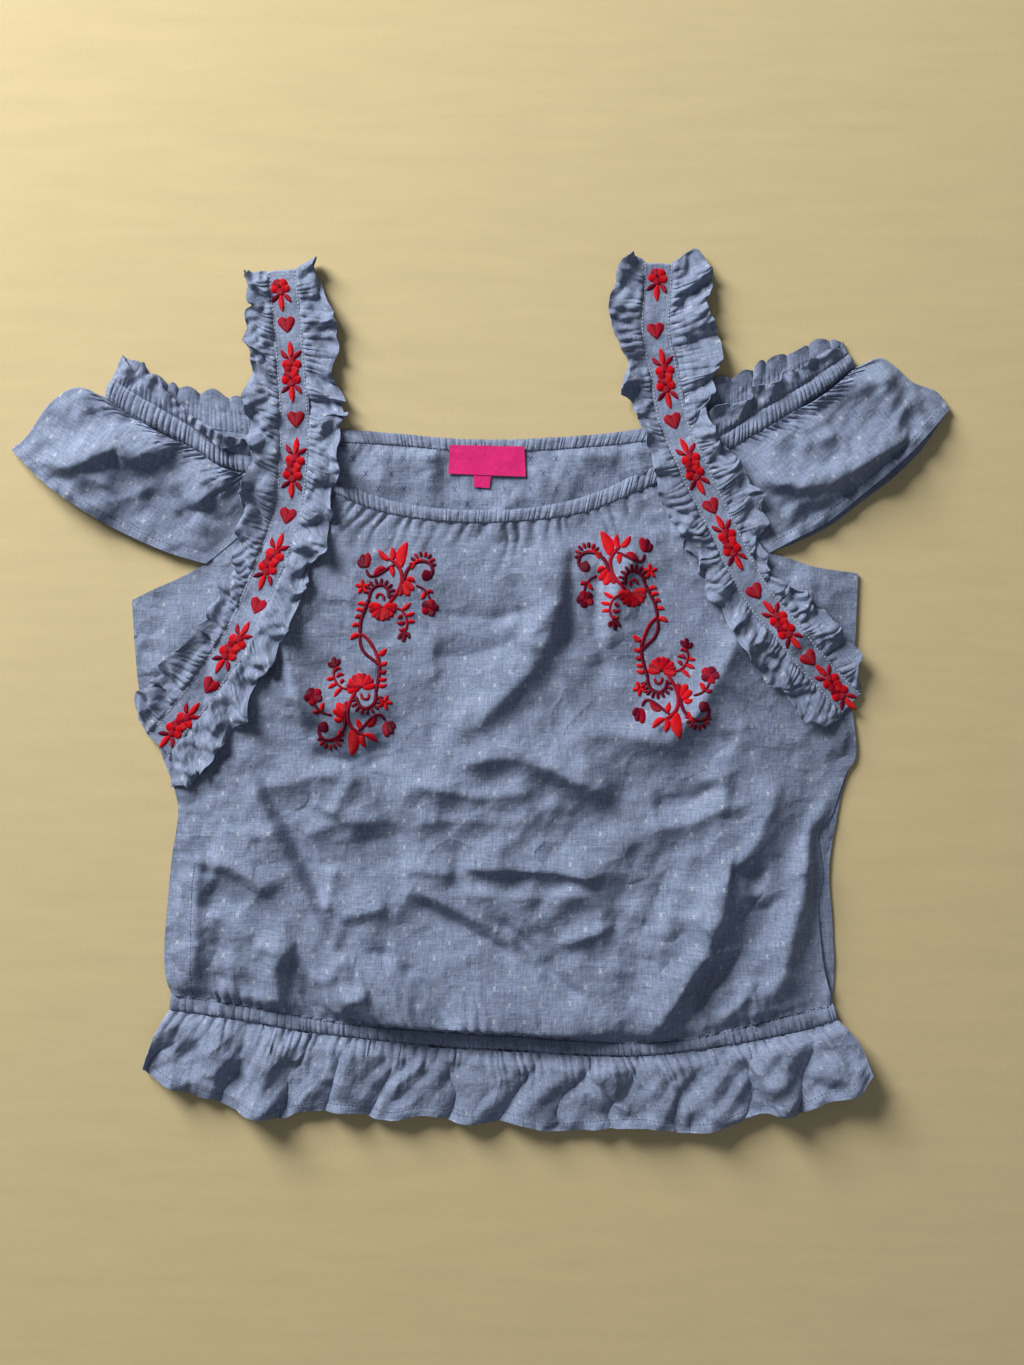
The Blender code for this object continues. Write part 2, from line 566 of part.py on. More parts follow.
def strap(cut):
    """A tape with a gathered ruffle on each side, all three folded over at the shoulder."""
    on = ["front_panel", "front_neck_casing", "back_neck_casing", "back_panel"]
    on += [f"sleeve_{cut.side}", f"sleeve_{cut.side}_casing", f"sleeve_{cut.side}_frill"]
    fractions = np.linspace(0, 1, cut.waves * 4 + 1)
    middle = along(cut.centre, fractions)
    way = np.gradient(middle, axis=0)
    way /= np.linalg.norm(way, axis=1, keepdims=True)
    outwards = np.stack([way[:, 1], -way[:, 0]], axis=1)
    if cut.side == "right":
        outwards = -outwards
    outer_edge = middle + outwards * TAPE_WIDTH / 2
    inner_edge = middle - outwards * TAPE_WIDTH / 2
    tape = strap_layers(outer_edge[::2], inner_edge[::2], 0, cut.back_end, on)
    wall(f"strap_{cut.side}_tape", tape, CHAMBRAY_LIGHT, seams=("first", "last"))
    for piece, edge, rim in (("outer", outer_edge, cut.outer), ("inner", inner_edge, cut.inner)):
        ruffle = strap_layers(edge, along(rim, fractions), cut.waves, cut.ruffle_end, on)
        wall(f"strap_{cut.side}_ruffle_{piece}", ruffle, CHAMBRAY, seams=("first",))


def label(name, corners, colour, on):
    """A small woven label lying on the inside of the back."""
    top_left, top_right, low_right, low_left = (np.array(corner, float) for corner in corners)
    u = np.linspace(0, 1, 7)[None, :, None]
    v = np.linspace(0, 1, 3)[:, None, None]
    flat = (1 - v) * ((1 - u) * top_left + u * top_right) + v * ((1 - u) * low_left + u * low_right)
    flat = inset(flat, ("first", "last"))
    rest = carried(flat, on, 5).max() + LAYER_GAP + LABEL_CLOTH / 2
    wall(name, raised(flat, np.full(flat.shape[:-1], rest)), colour, cloth=LABEL_CLOTH, seams=ALL_SIDES)


def main():
    clear_scene()
    back_panel()
    casing("back_neck_casing", NECK_BACK_LOW, NECK_BACK_TOP, BACK_ACROSS, [], ("left", "right"), across=1)
    label("neck_label", LABEL_CORNERS, LABEL_PINK, ["back_panel", "back_neck_casing"])
    label("size_tab", TAB_CORNERS, LABEL_PINK, ["back_panel"])
    front_panel()
    casing("front_neck_casing", NECK_FRONT_LOW, NECK_FRONT_TOP, FRONT_ACROSS, ["back_panel"],
           ("left", "right"))
    for cut in SLEEVES:
        sleeve(cut)
    casing("waist_casing_back", WAIST_LOW, WAIST_TOP, BACK_ACROSS, [], (), across=1)
    casing("waist_casing_front", WAIST_LOW, WAIST_TOP, FRONT_ACROSS, ["waist_casing_back"], ())
    peplum("peplum_back", on_back=False)
    peplum("peplum_front", on_back=True)
    for cut in STRAPS:
        strap(cut)


main()
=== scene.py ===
"""Looks of the dirndl blouse laid flat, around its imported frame.

Tables are in millimetres, as in the part's source: X to the wearer's left, Y towards the shoulders and
Z up from the surface. Every piece of cloth is one thin closed shell on the form of its solid.
"""

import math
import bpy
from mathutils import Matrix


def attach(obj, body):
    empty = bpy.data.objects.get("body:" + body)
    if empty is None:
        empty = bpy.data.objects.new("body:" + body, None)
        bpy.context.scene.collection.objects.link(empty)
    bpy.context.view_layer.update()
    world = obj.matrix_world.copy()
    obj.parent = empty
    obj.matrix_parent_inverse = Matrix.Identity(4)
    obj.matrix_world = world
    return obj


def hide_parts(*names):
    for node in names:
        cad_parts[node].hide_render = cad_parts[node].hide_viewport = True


bl_info = {
    "name": "Dirndl Blouse Looks",
    "version": (1, 0, 0),
    "blender": (4, 5, 0),
    "location": "3D View > Sidebar > Blouse",
    "description": "Builds the cloth, embroidery, sewing and stage of a dirndl blouse laid flat",
    "category": "Object",
}

from collections import namedtuple

import bpy
import numpy as np
from mathutils import Vector
from mathutils.bvhtree import BVHTree

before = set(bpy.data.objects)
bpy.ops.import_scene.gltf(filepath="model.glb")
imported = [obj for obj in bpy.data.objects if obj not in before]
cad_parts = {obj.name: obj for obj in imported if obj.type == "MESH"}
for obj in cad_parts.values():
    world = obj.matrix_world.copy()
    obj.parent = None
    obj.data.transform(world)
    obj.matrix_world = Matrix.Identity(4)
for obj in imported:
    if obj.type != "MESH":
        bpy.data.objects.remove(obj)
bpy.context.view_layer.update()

MM = 0.001
ROOT = "root"
# The middle of the lower and of the upper layer of cloth, the least height of any cloth over the surface,
# and the height that rays are cast down from.
BACK_MIDDLE = 0.6
FRONT_MIDDLE = 2.15
FLOOR_GAP = 0.15
RAY_TOP = 80.0
# The label's thickness, its middle and half width along X, and the Y that it ends above.
LABEL_CLOTH = 0.5
LABEL_MIDDLE = 4.5
LABEL_HALF = 25
LABEL_LOW = 130
# How far the stitch lines lie inside a hem and inside the edges of the tape.
HEM_INSET = 5.2
TAPE_INSET = 1.3
# The ribs of a sleeve's casing, the columns of its mesh, and the height of its surface between the ribs.
SLEEVE_RIBS = 38
SLEEVE_COLUMNS = SLEEVE_RIBS * 6
SLEEVE_BAND_TOP = 2.4
# The width of a casing and of one satin stitch on the UV map, in metres.
CASING_WIDTH = 0.0105
SATIN_STEP = 0.00055
# Faces that meet at a larger angle than this, in degrees, are shaded with a sharp edge.
SHARP_ANGLE = 70
# The random table behind the soft noise repeats after this many cells.
NOISE_CELLS = 64
# The floor's half width and the point that the camera is over, in metres, and its sensor in mm.
FLOOR_HALF = 3
CAMERA_OVER = (0.0203, 0.0060)
SENSOR = 36.0

Fold = namedtuple("Fold", "height left right route sharp lean", defaults=(1.1, 0))
Strap = namedtuple("Strap", "side centre outer inner waves back_end ruffle_end sprigs hearts")
Sleeve = namedtuple("Sleeve", "side seed seam back_seam top hem back_top back_hem fold band band_back "
                              "frill frill_back rim grain")
# A point on the free edge of a sleeve's frill, with its height and how far the frill bulges out there.
Rim = namedtuple("Rim", "x y high bulge")
Stroke = namedtuple("Stroke", "thread kind half route")
Fan = namedtuple("Fan", "first second x y inner outer start end count half")
Place = namedtuple("Place", "centre turn mirror link")

# Outlines: x, y along each edge, as in the part's source. Lower is towards the waist.
FRONT_SEAM_LEFT = [(-112, 136), (-136, 114), (-155, 96), (-173, 81)]
BACK_SEAM_LEFT = [(-105, 155), (-127, 131), (-153, 103), (-173, 81)]
ARMHOLE_LEFT = [(-173, 81), (-190, 72), (-206, 65), (-220, 58)]
SIDE_LEFT = [(-220, 58), (-218, 27), (-214, -5), (-201, -40), (-191, -72), (-195, -107), (-198, -141),
             (-199, -170), (-195, -191)]
FRONT_SEAM_RIGHT = [(133, 143), (154, 122), (169, 104), (183, 88)]
BACK_SEAM_RIGHT = [(127, 160), (146, 136), (166, 109), (183, 88)]
ARMHOLE_RIGHT = [(183, 88), (197, 84), (212, 79), (239, 75)]
SIDE_RIGHT_FRONT = [(239, 75), (237, 27), (235, -5), (238, -38), (231, -53), (221, -81), (214, -91),
                    (217, -116), (214, -135), (217, -173), (223, -197)]
SIDE_RIGHT_BACK = [(239, 75), (237, 27), (235, -5), (236, -37), (228, -68), (221, -110), (223, -145),
                   (224, -173), (223, -197)]
NECK_FRONT_LOW = [(-112, 136), (-89, 124), (-61, 113), (-20, 107), (21, 107), (62, 112), (90, 122),
                  (117, 134), (133, 143)]
NECK_FRONT_TOP = [(-115, 146), (-89, 133), (-61, 122), (-27, 116), (15, 115), (49, 119), (76, 127),
                  (109, 142), (139, 153)]
NECK_BACK_LOW = [(-105, 155), (-83, 157), (-48, 155), (-13, 152), (31, 152), (76, 155), (104, 158),
                 (127, 160)]
NECK_BACK_TOP = [(-109, 166), (-85, 166), (-48, 163), (-13, 160), (28, 160), (76, 163), (104, 167),
                 (132, 170)]
WAIST_TOP = [(-195, -191), (-164, -195), (-125, -202), (-82, -209), (-37, -213), (25, -217), (51, -219),
             (95, -221), (136, -218), (170, -210), (223, -197)]
WAIST_LOW = [(-196, -201), (-155, -207), (-115, -214), (-75, -219), (-18, -225), (25, -227), (51, -229),
             (102, -230), (153, -224), (204, -214), (226, -207)]
PEPLUM_LEFT = [(-196, -201), (-205, -217), (-214, -238)]
PEPLUM_RIGHT = [(226, -207), (238, -220), (246, -240)]
HEM = [(-214, -238), (-194, -248), (-167, -257), (-141, -266), (-123, -268), (-112, -264), (-82, -264),
       (-58, -269), (-34, -266), (-8, -271), (17, -270), (44, -276), (68, -275), (100, -273), (131, -277),
       (153, -273), (170, -267), (184, -264), (197, -266), (217, -257), (236, -252), (246, -240)]
SIDE_SEAM = [(-179, -108), (-181, -132), (-181, -165), (-181, -190)]

# The folds of the front. A route runs along the crest, and left and right are the widths of the slope
# on each side of it, seen along the route. Sharp is the crest's power, a negative height is a valley,
# and lean is how far the cloth at the crest hangs over towards the right side.
FRONT_FOLDS = [
    Fold(7.6, 7, 18, [(53, 99), (50, 55), (38, 27), (28, 11), (3, -14), (-18, -33)], 1.5),
    Fold(-4.7, 6, 6, [(58, 93), (56, 58), (55, 20)]),
    Fold(3.8, 6, 6, [(52, 61), (39, 44), (24, 27)]),
    Fold(-3.5, 7, 8, [(-32, 51), (6, 46), (41, 55)]),
    Fold(-3.5, 7, 7, [(-35, 22), (0, 25), (29, 36)]),
    Fold(-5.2, 5, 4, [(-108, -36), (-91, -42), (-73, -44), (-52, -32)]),
    Fold(6.0, 10, 13, [(-148, -62), (-114, -55), (-75, -47)]),
    Fold(5.6, 6, 10, [(-94, -82), (-86, -65), (-75, -47)]),
    Fold(4.3, 8, 7, [(-138, 15), (-114, -5), (-86, -32)]),
    Fold(3.8, 10, 7, [(-133, 1), (-95, -9), (-51, -13)]),
    Fold(-5.2, 20, 4, [(-146, -36), (-132, -66), (-117, -97), (-104, -124), (-94, -146)]),
    Fold(5.9, 3.5, 15, [(-176, -100), (-177, -132), (-178, -165), (-178, -192)], 1.1, 0.8),
    Fold(8.2, 7, 19, [(-157, -39), (-147, -59), (-134, -82), (-125, -101), (-115, -120),
         (-103, -145), (-94, -157), (-82, -164), (-65, -175), (-40, -197), (-27, -209)], 1.4, -1.6),
    Fold(4.3, 5, 7, [(-192, -76), (-186, -89), (-176, -103), (-174, -114)]),
    Fold(-3.8, 7, 7, [(-172, -122), (-160, -129), (-148, -139)]),
    Fold(3.6, 7, 5, [(-176, -139), (-151, -146), (-138, -158), (-120, -161)]),
    Fold(6.4, 9, 7, [(-173, -105), (-156, -109), (-141, -117), (-131, -129)], 1.2, 1.0),
    Fold(8.1, 10, 6, [(-129, -202), (-128, -183), (-129, -172), (-122, -160), (-114, -156)], 1.3, 2.4),
    Fold(5.6, 6, 7, [(-110, -180), (-95, -179), (-88, -169), (-80, -164)]),
    Fold(6.0, 6, 5, [(-84, -190), (-76, -187), (-67, -183)]),
    Fold(-6.0, 5, 5, [(-84, -193), (-72, -200), (-58, -206)]),
    Fold(3.8, 7, 6, [(-114, -94), (-95, -84), (-75, -81), (-54, -80)]),
    Fold(-3.2, 6, 6, [(-79, -95), (-58, -91), (-48, -84)]),
    Fold(4.3, 7, 5, [(-98, -141), (-94, -126), (-91, -108)]),
    Fold(-5.2, 7, 7, [(-93, -160), (-74, -165), (-52, -164)]),
    Fold(3.5, 7, 5, [(-91, -146), (-76, -139), (-56, -137)]),
    Fold(7.7, 16, 7, [(-25, -49), (17, -41), (47, -51), (70, -62), (90, -69)]),
    Fold(6.0, 10, 6, [(-52, -58), (-25, -61), (0, -65), (44, -62)]),
    Fold(4.7, 12, 7, [(-49, -85), (-19, -80), (13, -81), (41, -76)]),
    Fold(7.4, 12, 4, [(-16, -109), (25, -109), (55, -112), (84, -118)], 1.2, 2.2),
    Fold(4.3, 5, 7, [(-18, -127), (32, -129), (80, -127)]),
    Fold(4.7, 7, 6, [(-51, -112), (-32, -112), (-14, -114)]),
    Fold(-5.5, 4, 4, [(-47, -128), (-14, -146), (8, -158), (26, -171)]),
    Fold(-6.5, 4, 4, [(0, -139), (22, -153), (40, -172), (58, -186), (76, -190)], 1.3),
    Fold(4.4, 5, 4, [(48, -158), (70, -152), (87, -145)]),
    Fold(-4.6, 4, 5, [(-52, -167), (-31, -187), (-14, -206)]),
    Fold(3.4, 4, 6, [(75, -170), (77, -151), (74, -135)]),
    Fold(10.5, 26, 5, [(-112, -188), (-80, -197), (-40, -202), (25, -206), (60, -208),
         (84, -210), (101, -213)], 1.5, 6.0),
    Fold(4.4, 10, 4, [(6, -28), (45, -46), (88, -67)], 1.1, 0.8),
    Fold(4.6, 6, 4, [(-46, -121), (-10, -139), (14, -151), (34, -166)]),
    Fold(10.2, 11, 9, [(93, -222), (105, -210), (120, -189), (133, -167), (147, -139),
         (156, -119)], 1.4, 3.6),
    Fold(7.7, 13, 12, [(147, -139), (157, -115), (172, -95), (184, -68), (189, -49)]),
    Fold(4.7, 4, 7, [(131, -165), (155, -163), (191, -160)]),
    Fold(-6.0, 6, 7, [(155, -112), (168, -114), (181, -119)]),
    Fold(-6.9, 9, 8, [(192, -126), (174, -144), (165, -164), (143, -184), (131, -205)]),
    Fold(8.1, 9, 7, [(226, -55), (220, -79), (207, -98), (204, -122), (196, -146), (191, -171),
         (186, -189), (183, -204)], 1.5),
    Fold(4.7, 5, 5, [(148, -207), (164, -195), (172, -179)]),
    Fold(-5.6, 7, 7, [(107, -72), (133, -68), (152, -56)]),
    Fold(4.7, 8, 7, [(101, -87), (133, -82), (162, -68)]),
    Fold(6.9, 10, 8, [(-138, 58), (-120, 20), (-107, -27)]),
    Fold(7.3, 12, 9, [(166, 46), (149, 8), (119, -37)]),
    Fold(5.2, 12, 9, [(51, -30), (89, -27), (133, -38)]),
    Fold(-4.3, 7, 7, [(76, 84), (74, 46), (80, 1)]),
    Fold(5.2, 7, 8, [(101, 96), (84, 58), (80, 20)]),
]
BACK_FOLDS = [
    Fold(3.4, 8, 4, [(-61, 156), (-62, 140), (-64, 116)]),
    Fold(4.0, 9, 6, [(-34, 156), (-32, 138), (-30, 112)]),
    Fold(3.0, 6, 8, [(-88, 158), (-90, 140), (-84, 122)]),
    Fold(5.2, 4, 6, [(8, 108), (18, 118), (26, 127), (38, 143)]),
    Fold(3.0, 4, 4, [(50, 154), (57, 143), (66, 133), (82, 125)]),
    Fold(3.6, 5, 5, [(60, 148), (72, 150), (88, 146)]),
    Fold(3.8, 10, 8, [(36, 124), (46, 128), (60, 122)], 1.4),
    Fold(3.6, 7, 5, [(96, 158), (101, 146), (103, 132)]),
    Fold(2.8, 6, 8, [(-8, 152), (-7, 134), (-9, 112)]),
    Fold(3.0, 5, 5, [(-84, 141), (-68, 132), (-46, 128)]),
]
# The flutes of the peplum: where their crests stand along X, and how tall each is.
PEPLUM_CRESTS = [-202, -172, -130, -98, -66, -28, 11, 50, 83, 118, 157, 197, 234]
PEPLUM_HEIGHTS = [0.9, 0.6, 1.15, 0.55, 1.1, 0.7, 1.2, 1.0, 0.6, 1.15, 0.75, 1.1, 0.9]
PEPLUM_FOLDS = [
    Fold(4.6, 9, 4, [(170, -222), (178, -237), (188, -254), (197, -269)], 1.3, 3.6),
    Fold(3.8, 8, 4, [(71, -233), (82, -249), (101, -266)], 1.3, 2.4),
    Fold(3.8, 4, 9, [(-148, -216), (-161, -228), (-174, -243)], 1.3, -2.4),
    Fold(3.2, 4, 8, [(-79, -221), (-86, -240), (-90, -259)], 1.3),
]

SLEEVES = [
    Sleeve(
        side="left",
        seed=100,
        seam=FRONT_SEAM_LEFT,
        back_seam=BACK_SEAM_LEFT,
        top=[(-112, 136), (-138, 137), (-162, 142), (-180, 153), (-200, 164), (-219, 174), (-236, 186)],
        hem=[(-173, 81), (-191, 86), (-209, 93), (-230, 103), (-250, 115), (-273, 131), (-295, 152)],
        back_top=[(-105, 155), (-127, 160), (-149, 164), (-171, 167), (-193, 172), (-216, 179), (-236, 186)],
        back_hem=[(-173, 81), (-191, 86), (-209, 93), (-230, 103), (-250, 115), (-273, 131), (-295, 152)],
        fold=[(-238, 185), (-248, 191), (-258, 191), (-269, 184), (-276, 176), (-285, 162), (-295, 152)],
        band=[(-115, 146), (-145, 149), (-161, 153), (-174, 162), (-190, 172), (-209, 183), (-232, 197)],
        band_back=[(-109, 166), (-128, 170), (-149, 175), (-171, 178), (-193, 183), (-214, 188),
                   (-232, 197)],
        frill=[(-120, 158), (-138, 162), (-152, 162), (-168, 171), (-183, 182), (-200, 195), (-225, 212)],
        frill_back=[(-114, 178), (-130, 182), (-149, 186), (-171, 190), (-188, 192), (-204, 200),
                    (-225, 212)],
        rim=[Rim(-116, 152, 4.0, 2), Rim(-130, 157, 5.5, 3), Rim(-143, 158, 6.5, 4), Rim(-154, 155, 8.0, 7),
             Rim(-163, 153, 8.5, 9), Rim(-171, 161, 8.5, 7), Rim(-181, 168, 8.0, 6), Rim(-187, 179, 7.5, 3),
             Rim(-194, 186, 6.5, 2), Rim(-199, 191, 8.0, 3), Rim(-202, 198, 6.0, 1), Rim(-208, 201, 8.0, 1),
             Rim(-211, 207, 9.0, 0), Rim(-217, 202, 3.2, 0), Rim(-222, 207, 6.0, 0), Rim(-225, 212, 4.0, 0)],
        grain=-30,
    ),
    Sleeve(
        side="right",
        seed=200,
        seam=FRONT_SEAM_RIGHT,
        back_seam=BACK_SEAM_RIGHT,
        top=[(133, 143), (153, 150), (170, 160), (187, 170), (206, 182), (223, 194), (236, 206)],
        hem=[(183, 88), (200, 97), (219, 107), (238, 122), (257, 138), (276, 156), (296, 178)],
        back_top=[(127, 160), (147, 166), (165, 176), (183, 185), (202, 193), (221, 200), (236, 206)],
        back_hem=[(183, 88), (201, 95), (221, 105), (241, 120), (262, 136), (280, 154), (296, 178)],
        fold=[(238, 205), (252, 210), (262, 205), (273, 195), (288, 189), (296, 178)],
        band=[(139, 153), (153, 162), (165, 170), (179, 179), (198, 190), (216, 202), (232, 213)],
        band_back=[(132, 170), (145, 178), (160, 186), (178, 195), (197, 203), (216, 210), (232, 213)],
        frill=[(141, 172), (150, 180), (164, 185), (176, 194), (191, 203), (209, 213), (229, 221)],
        frill_back=[(133, 190), (150, 199), (166, 202), (183, 210), (199, 216), (217, 223), (229, 221)],
        rim=[Rim(141, 172, 4.0, 0), Rim(147, 179, 6.5, 0), Rim(155, 181, 8.0, 1), Rim(168, 183, 8.5, 3),
             Rim(172, 187, 6.0, 1), Rim(169, 191, 5.0, 0), Rim(176, 193, 7.5, 0), Rim(188, 195, 8.5, 2),
             Rim(191, 202, 5.5, 0), Rim(196, 203, 7.0, 0), Rim(200, 202, 8.0, 2), Rim(212, 213, 6.0, 0),
             Rim(222, 216, 7.0, 1), Rim(229, 221, 3.0, 0)],
        grain=38,
    ),
]
SLEEVE_FOLDS = [
    Fold(10.5, 15, 8, [(-272, 140), (-250, 148), (-228, 157), (-217, 152), (-205, 156),
         (-184, 163)], 1.5, 4.0),
    Fold(7.4, 5, 16, [(-146, 147), (-160, 136), (-171, 128), (-183, 114)], 1.3, -2.4),
    Fold(-6.0, 5, 4, [(-213, 127), (-200, 114), (-190, 107), (-177, 118)]),
    Fold(-4.4, 4, 4, [(-276, 181), (-264, 168), (-250, 157)]),
    Fold(-6.0, 6, 5, [(-250, 179), (-238, 174), (-224, 172), (-212, 176)]),
    Fold(5.0, 5, 7, [(-278, 147), (-262, 142), (-244, 133), (-226, 127)]),
    Fold(3.6, 4, 4, [(-180, 114), (-171, 103), (-162, 93)]),
    Fold(3.4, 6, 4, [(-262, 128), (-246, 118), (-228, 109)]),
    Fold(9.8, 17, 6, [(168, 140), (196, 133), (218, 135), (236, 145), (256, 157), (280, 165)], 1.5, 3.6),
    Fold(7.6, 5, 9, [(196, 180), (220, 191), (244, 196), (268, 197)], 1.3, 2.0),
    Fold(3.6, 5, 4, [(198, 157), (212, 158), (225, 164)]),
    Fold(-3.4, 4, 4, [(216, 141), (220, 149), (229, 154)]),
    Fold(-4.0, 4, 4, [(273, 170), (266, 158), (256, 146)]),
    Fold(4.2, 7, 5, [(192, 121), (210, 119), (232, 128)]),
    Fold(3.2, 4, 6, [(250, 193), (258, 183), (270, 176)]),
]

STRAPS = [
    Strap(
        side="left",
        centre=[(-125, 265), (-122, 235), (-119, 201), (-117, 170), (-118, 134), (-124, 103), (-138, 65),
                (-150, 38), (-164, 16), (-178, -4), (-203, -33)],
        outer=[(-148, 264), (-149, 256), (-143, 244), (-148, 235), (-148, 222), (-143, 209), (-149, 191),
               (-148, 183), (-145, 160), (-147, 141), (-148, 127), (-150, 112), (-153, 98), (-154, 84),
               (-162, 70), (-174, 44), (-188, 29), (-197, 20), (-206, 6), (-216, 0), (-219, -14)],
        inner=[(-103, 270), (-100, 260), (-94, 247), (-89, 223), (-93, 204), (-87, 191), (-85, 172),
               (-89, 156), (-88, 140), (-93, 125), (-92, 115), (-98, 89), (-107, 76), (-110, 61),
               (-117, 46), (-125, 27), (-132, 16), (-140, 2), (-143, -12), (-157, -28), (-171, -47),
               (-181, -57), (-194, -62)],
        waves=14,
        back_end=184,
        ruffle_end=198,
        sprigs=[(-119, 202), (-117, 141), (-131, 82), (-155, 28), (-189, -21)],
        hearts=[(-122, 232), (-116, 172), (-121, 111), (-139, 54), (-169, 4)],
    ),
    Strap(
        side="right",
        centre=[(113, 270), (112, 249), (111, 228), (117, 198), (122, 171), (134, 142), (146, 117),
                (157, 94), (173, 63), (190, 42), (207, 21), (224, 3), (234, -7)],
        outer=[(141, 276), (145, 270), (147, 261), (142, 245), (151, 225), (150, 205), (142, 176),
               (155, 155), (169, 136), (176, 124), (178, 105), (176, 92), (184, 76), (211, 58), (223, 44),
               (234, 32), (238, 16), (243, 4)],
        inner=[(93, 273), (84, 262), (84, 235), (88, 219), (92, 210), (89, 191), (94, 184), (100, 173),
               (103, 165), (109, 142), (114, 119), (118, 112), (124, 101), (137, 79), (141, 66),
               (155, 46), (163, 27), (190, -2), (204, -16), (212, -22), (225, -18)],
        waves=13,
        back_end=176,
        ruffle_end=204,
        sprigs=[(117, 198), (134, 142), (157, 94), (190, 42), (224, 3)],
        hearts=[(111, 228), (122, 171), (146, 117), (173, 63), (207, 21)],
    ),
]
# The sprigs at the shoulder folds, of which only the lower half shows.
HALF_SPRIGS = [(-126, 259.5), (113, 266)]

LABEL_CORNERS = [(-19, 156), (28, 155), (29, 136), (-20, 138)]
TAB_CORNERS = [(-4, 137), (7, 136.5), (6, 129), (-3.5, 129.5)]

# Embroidery, drawn for this blouse in its own millimetres. A sprig has its centre at 0, 0 and points
# along the strap. Half is half the width of a stroke.
SPRIG = [
    Stroke("scarlet", "leaf", 2.0, [(0.2, 8.5), (0.7, 13.8), (0.3, 19.8)]),
    Stroke("crimson", "leaf", 1.6, [(-1.0, 8.6), (-3.6, 10.9), (-5.6, 14.6)]),
    Stroke("crimson", "leaf", 1.6, [(1.4, 8.6), (4.4, 10.6), (7.6, 13.2)]),
    Stroke("scarlet", "leaf", 2.0, [(-0.2, -8.5), (-0.7, -13.8), (-0.3, -19.8)]),
    Stroke("crimson", "leaf", 1.6, [(1.0, -8.6), (3.6, -10.9), (5.6, -14.6)]),
    Stroke("maroon", "leaf", 1.6, [(-1.4, -8.6), (-4.4, -10.6), (-7.6, -13.2)]),
]
SPRIG_FLOWERS = [((0.5, 3.9), 0.2), ((-0.5, -3.9), 0.9)]
HEART = [
    Stroke("crimson", "drop", 3.0, [(-2.7, 5.2), (-2.6, 2.2), (-1.6, -1.0), (0.1, -5.6)]),
    Stroke("crimson", "drop", 3.0, [(2.7, 5.2), (2.6, 2.2), (1.6, -1.0), (-0.1, -5.6)]),
]

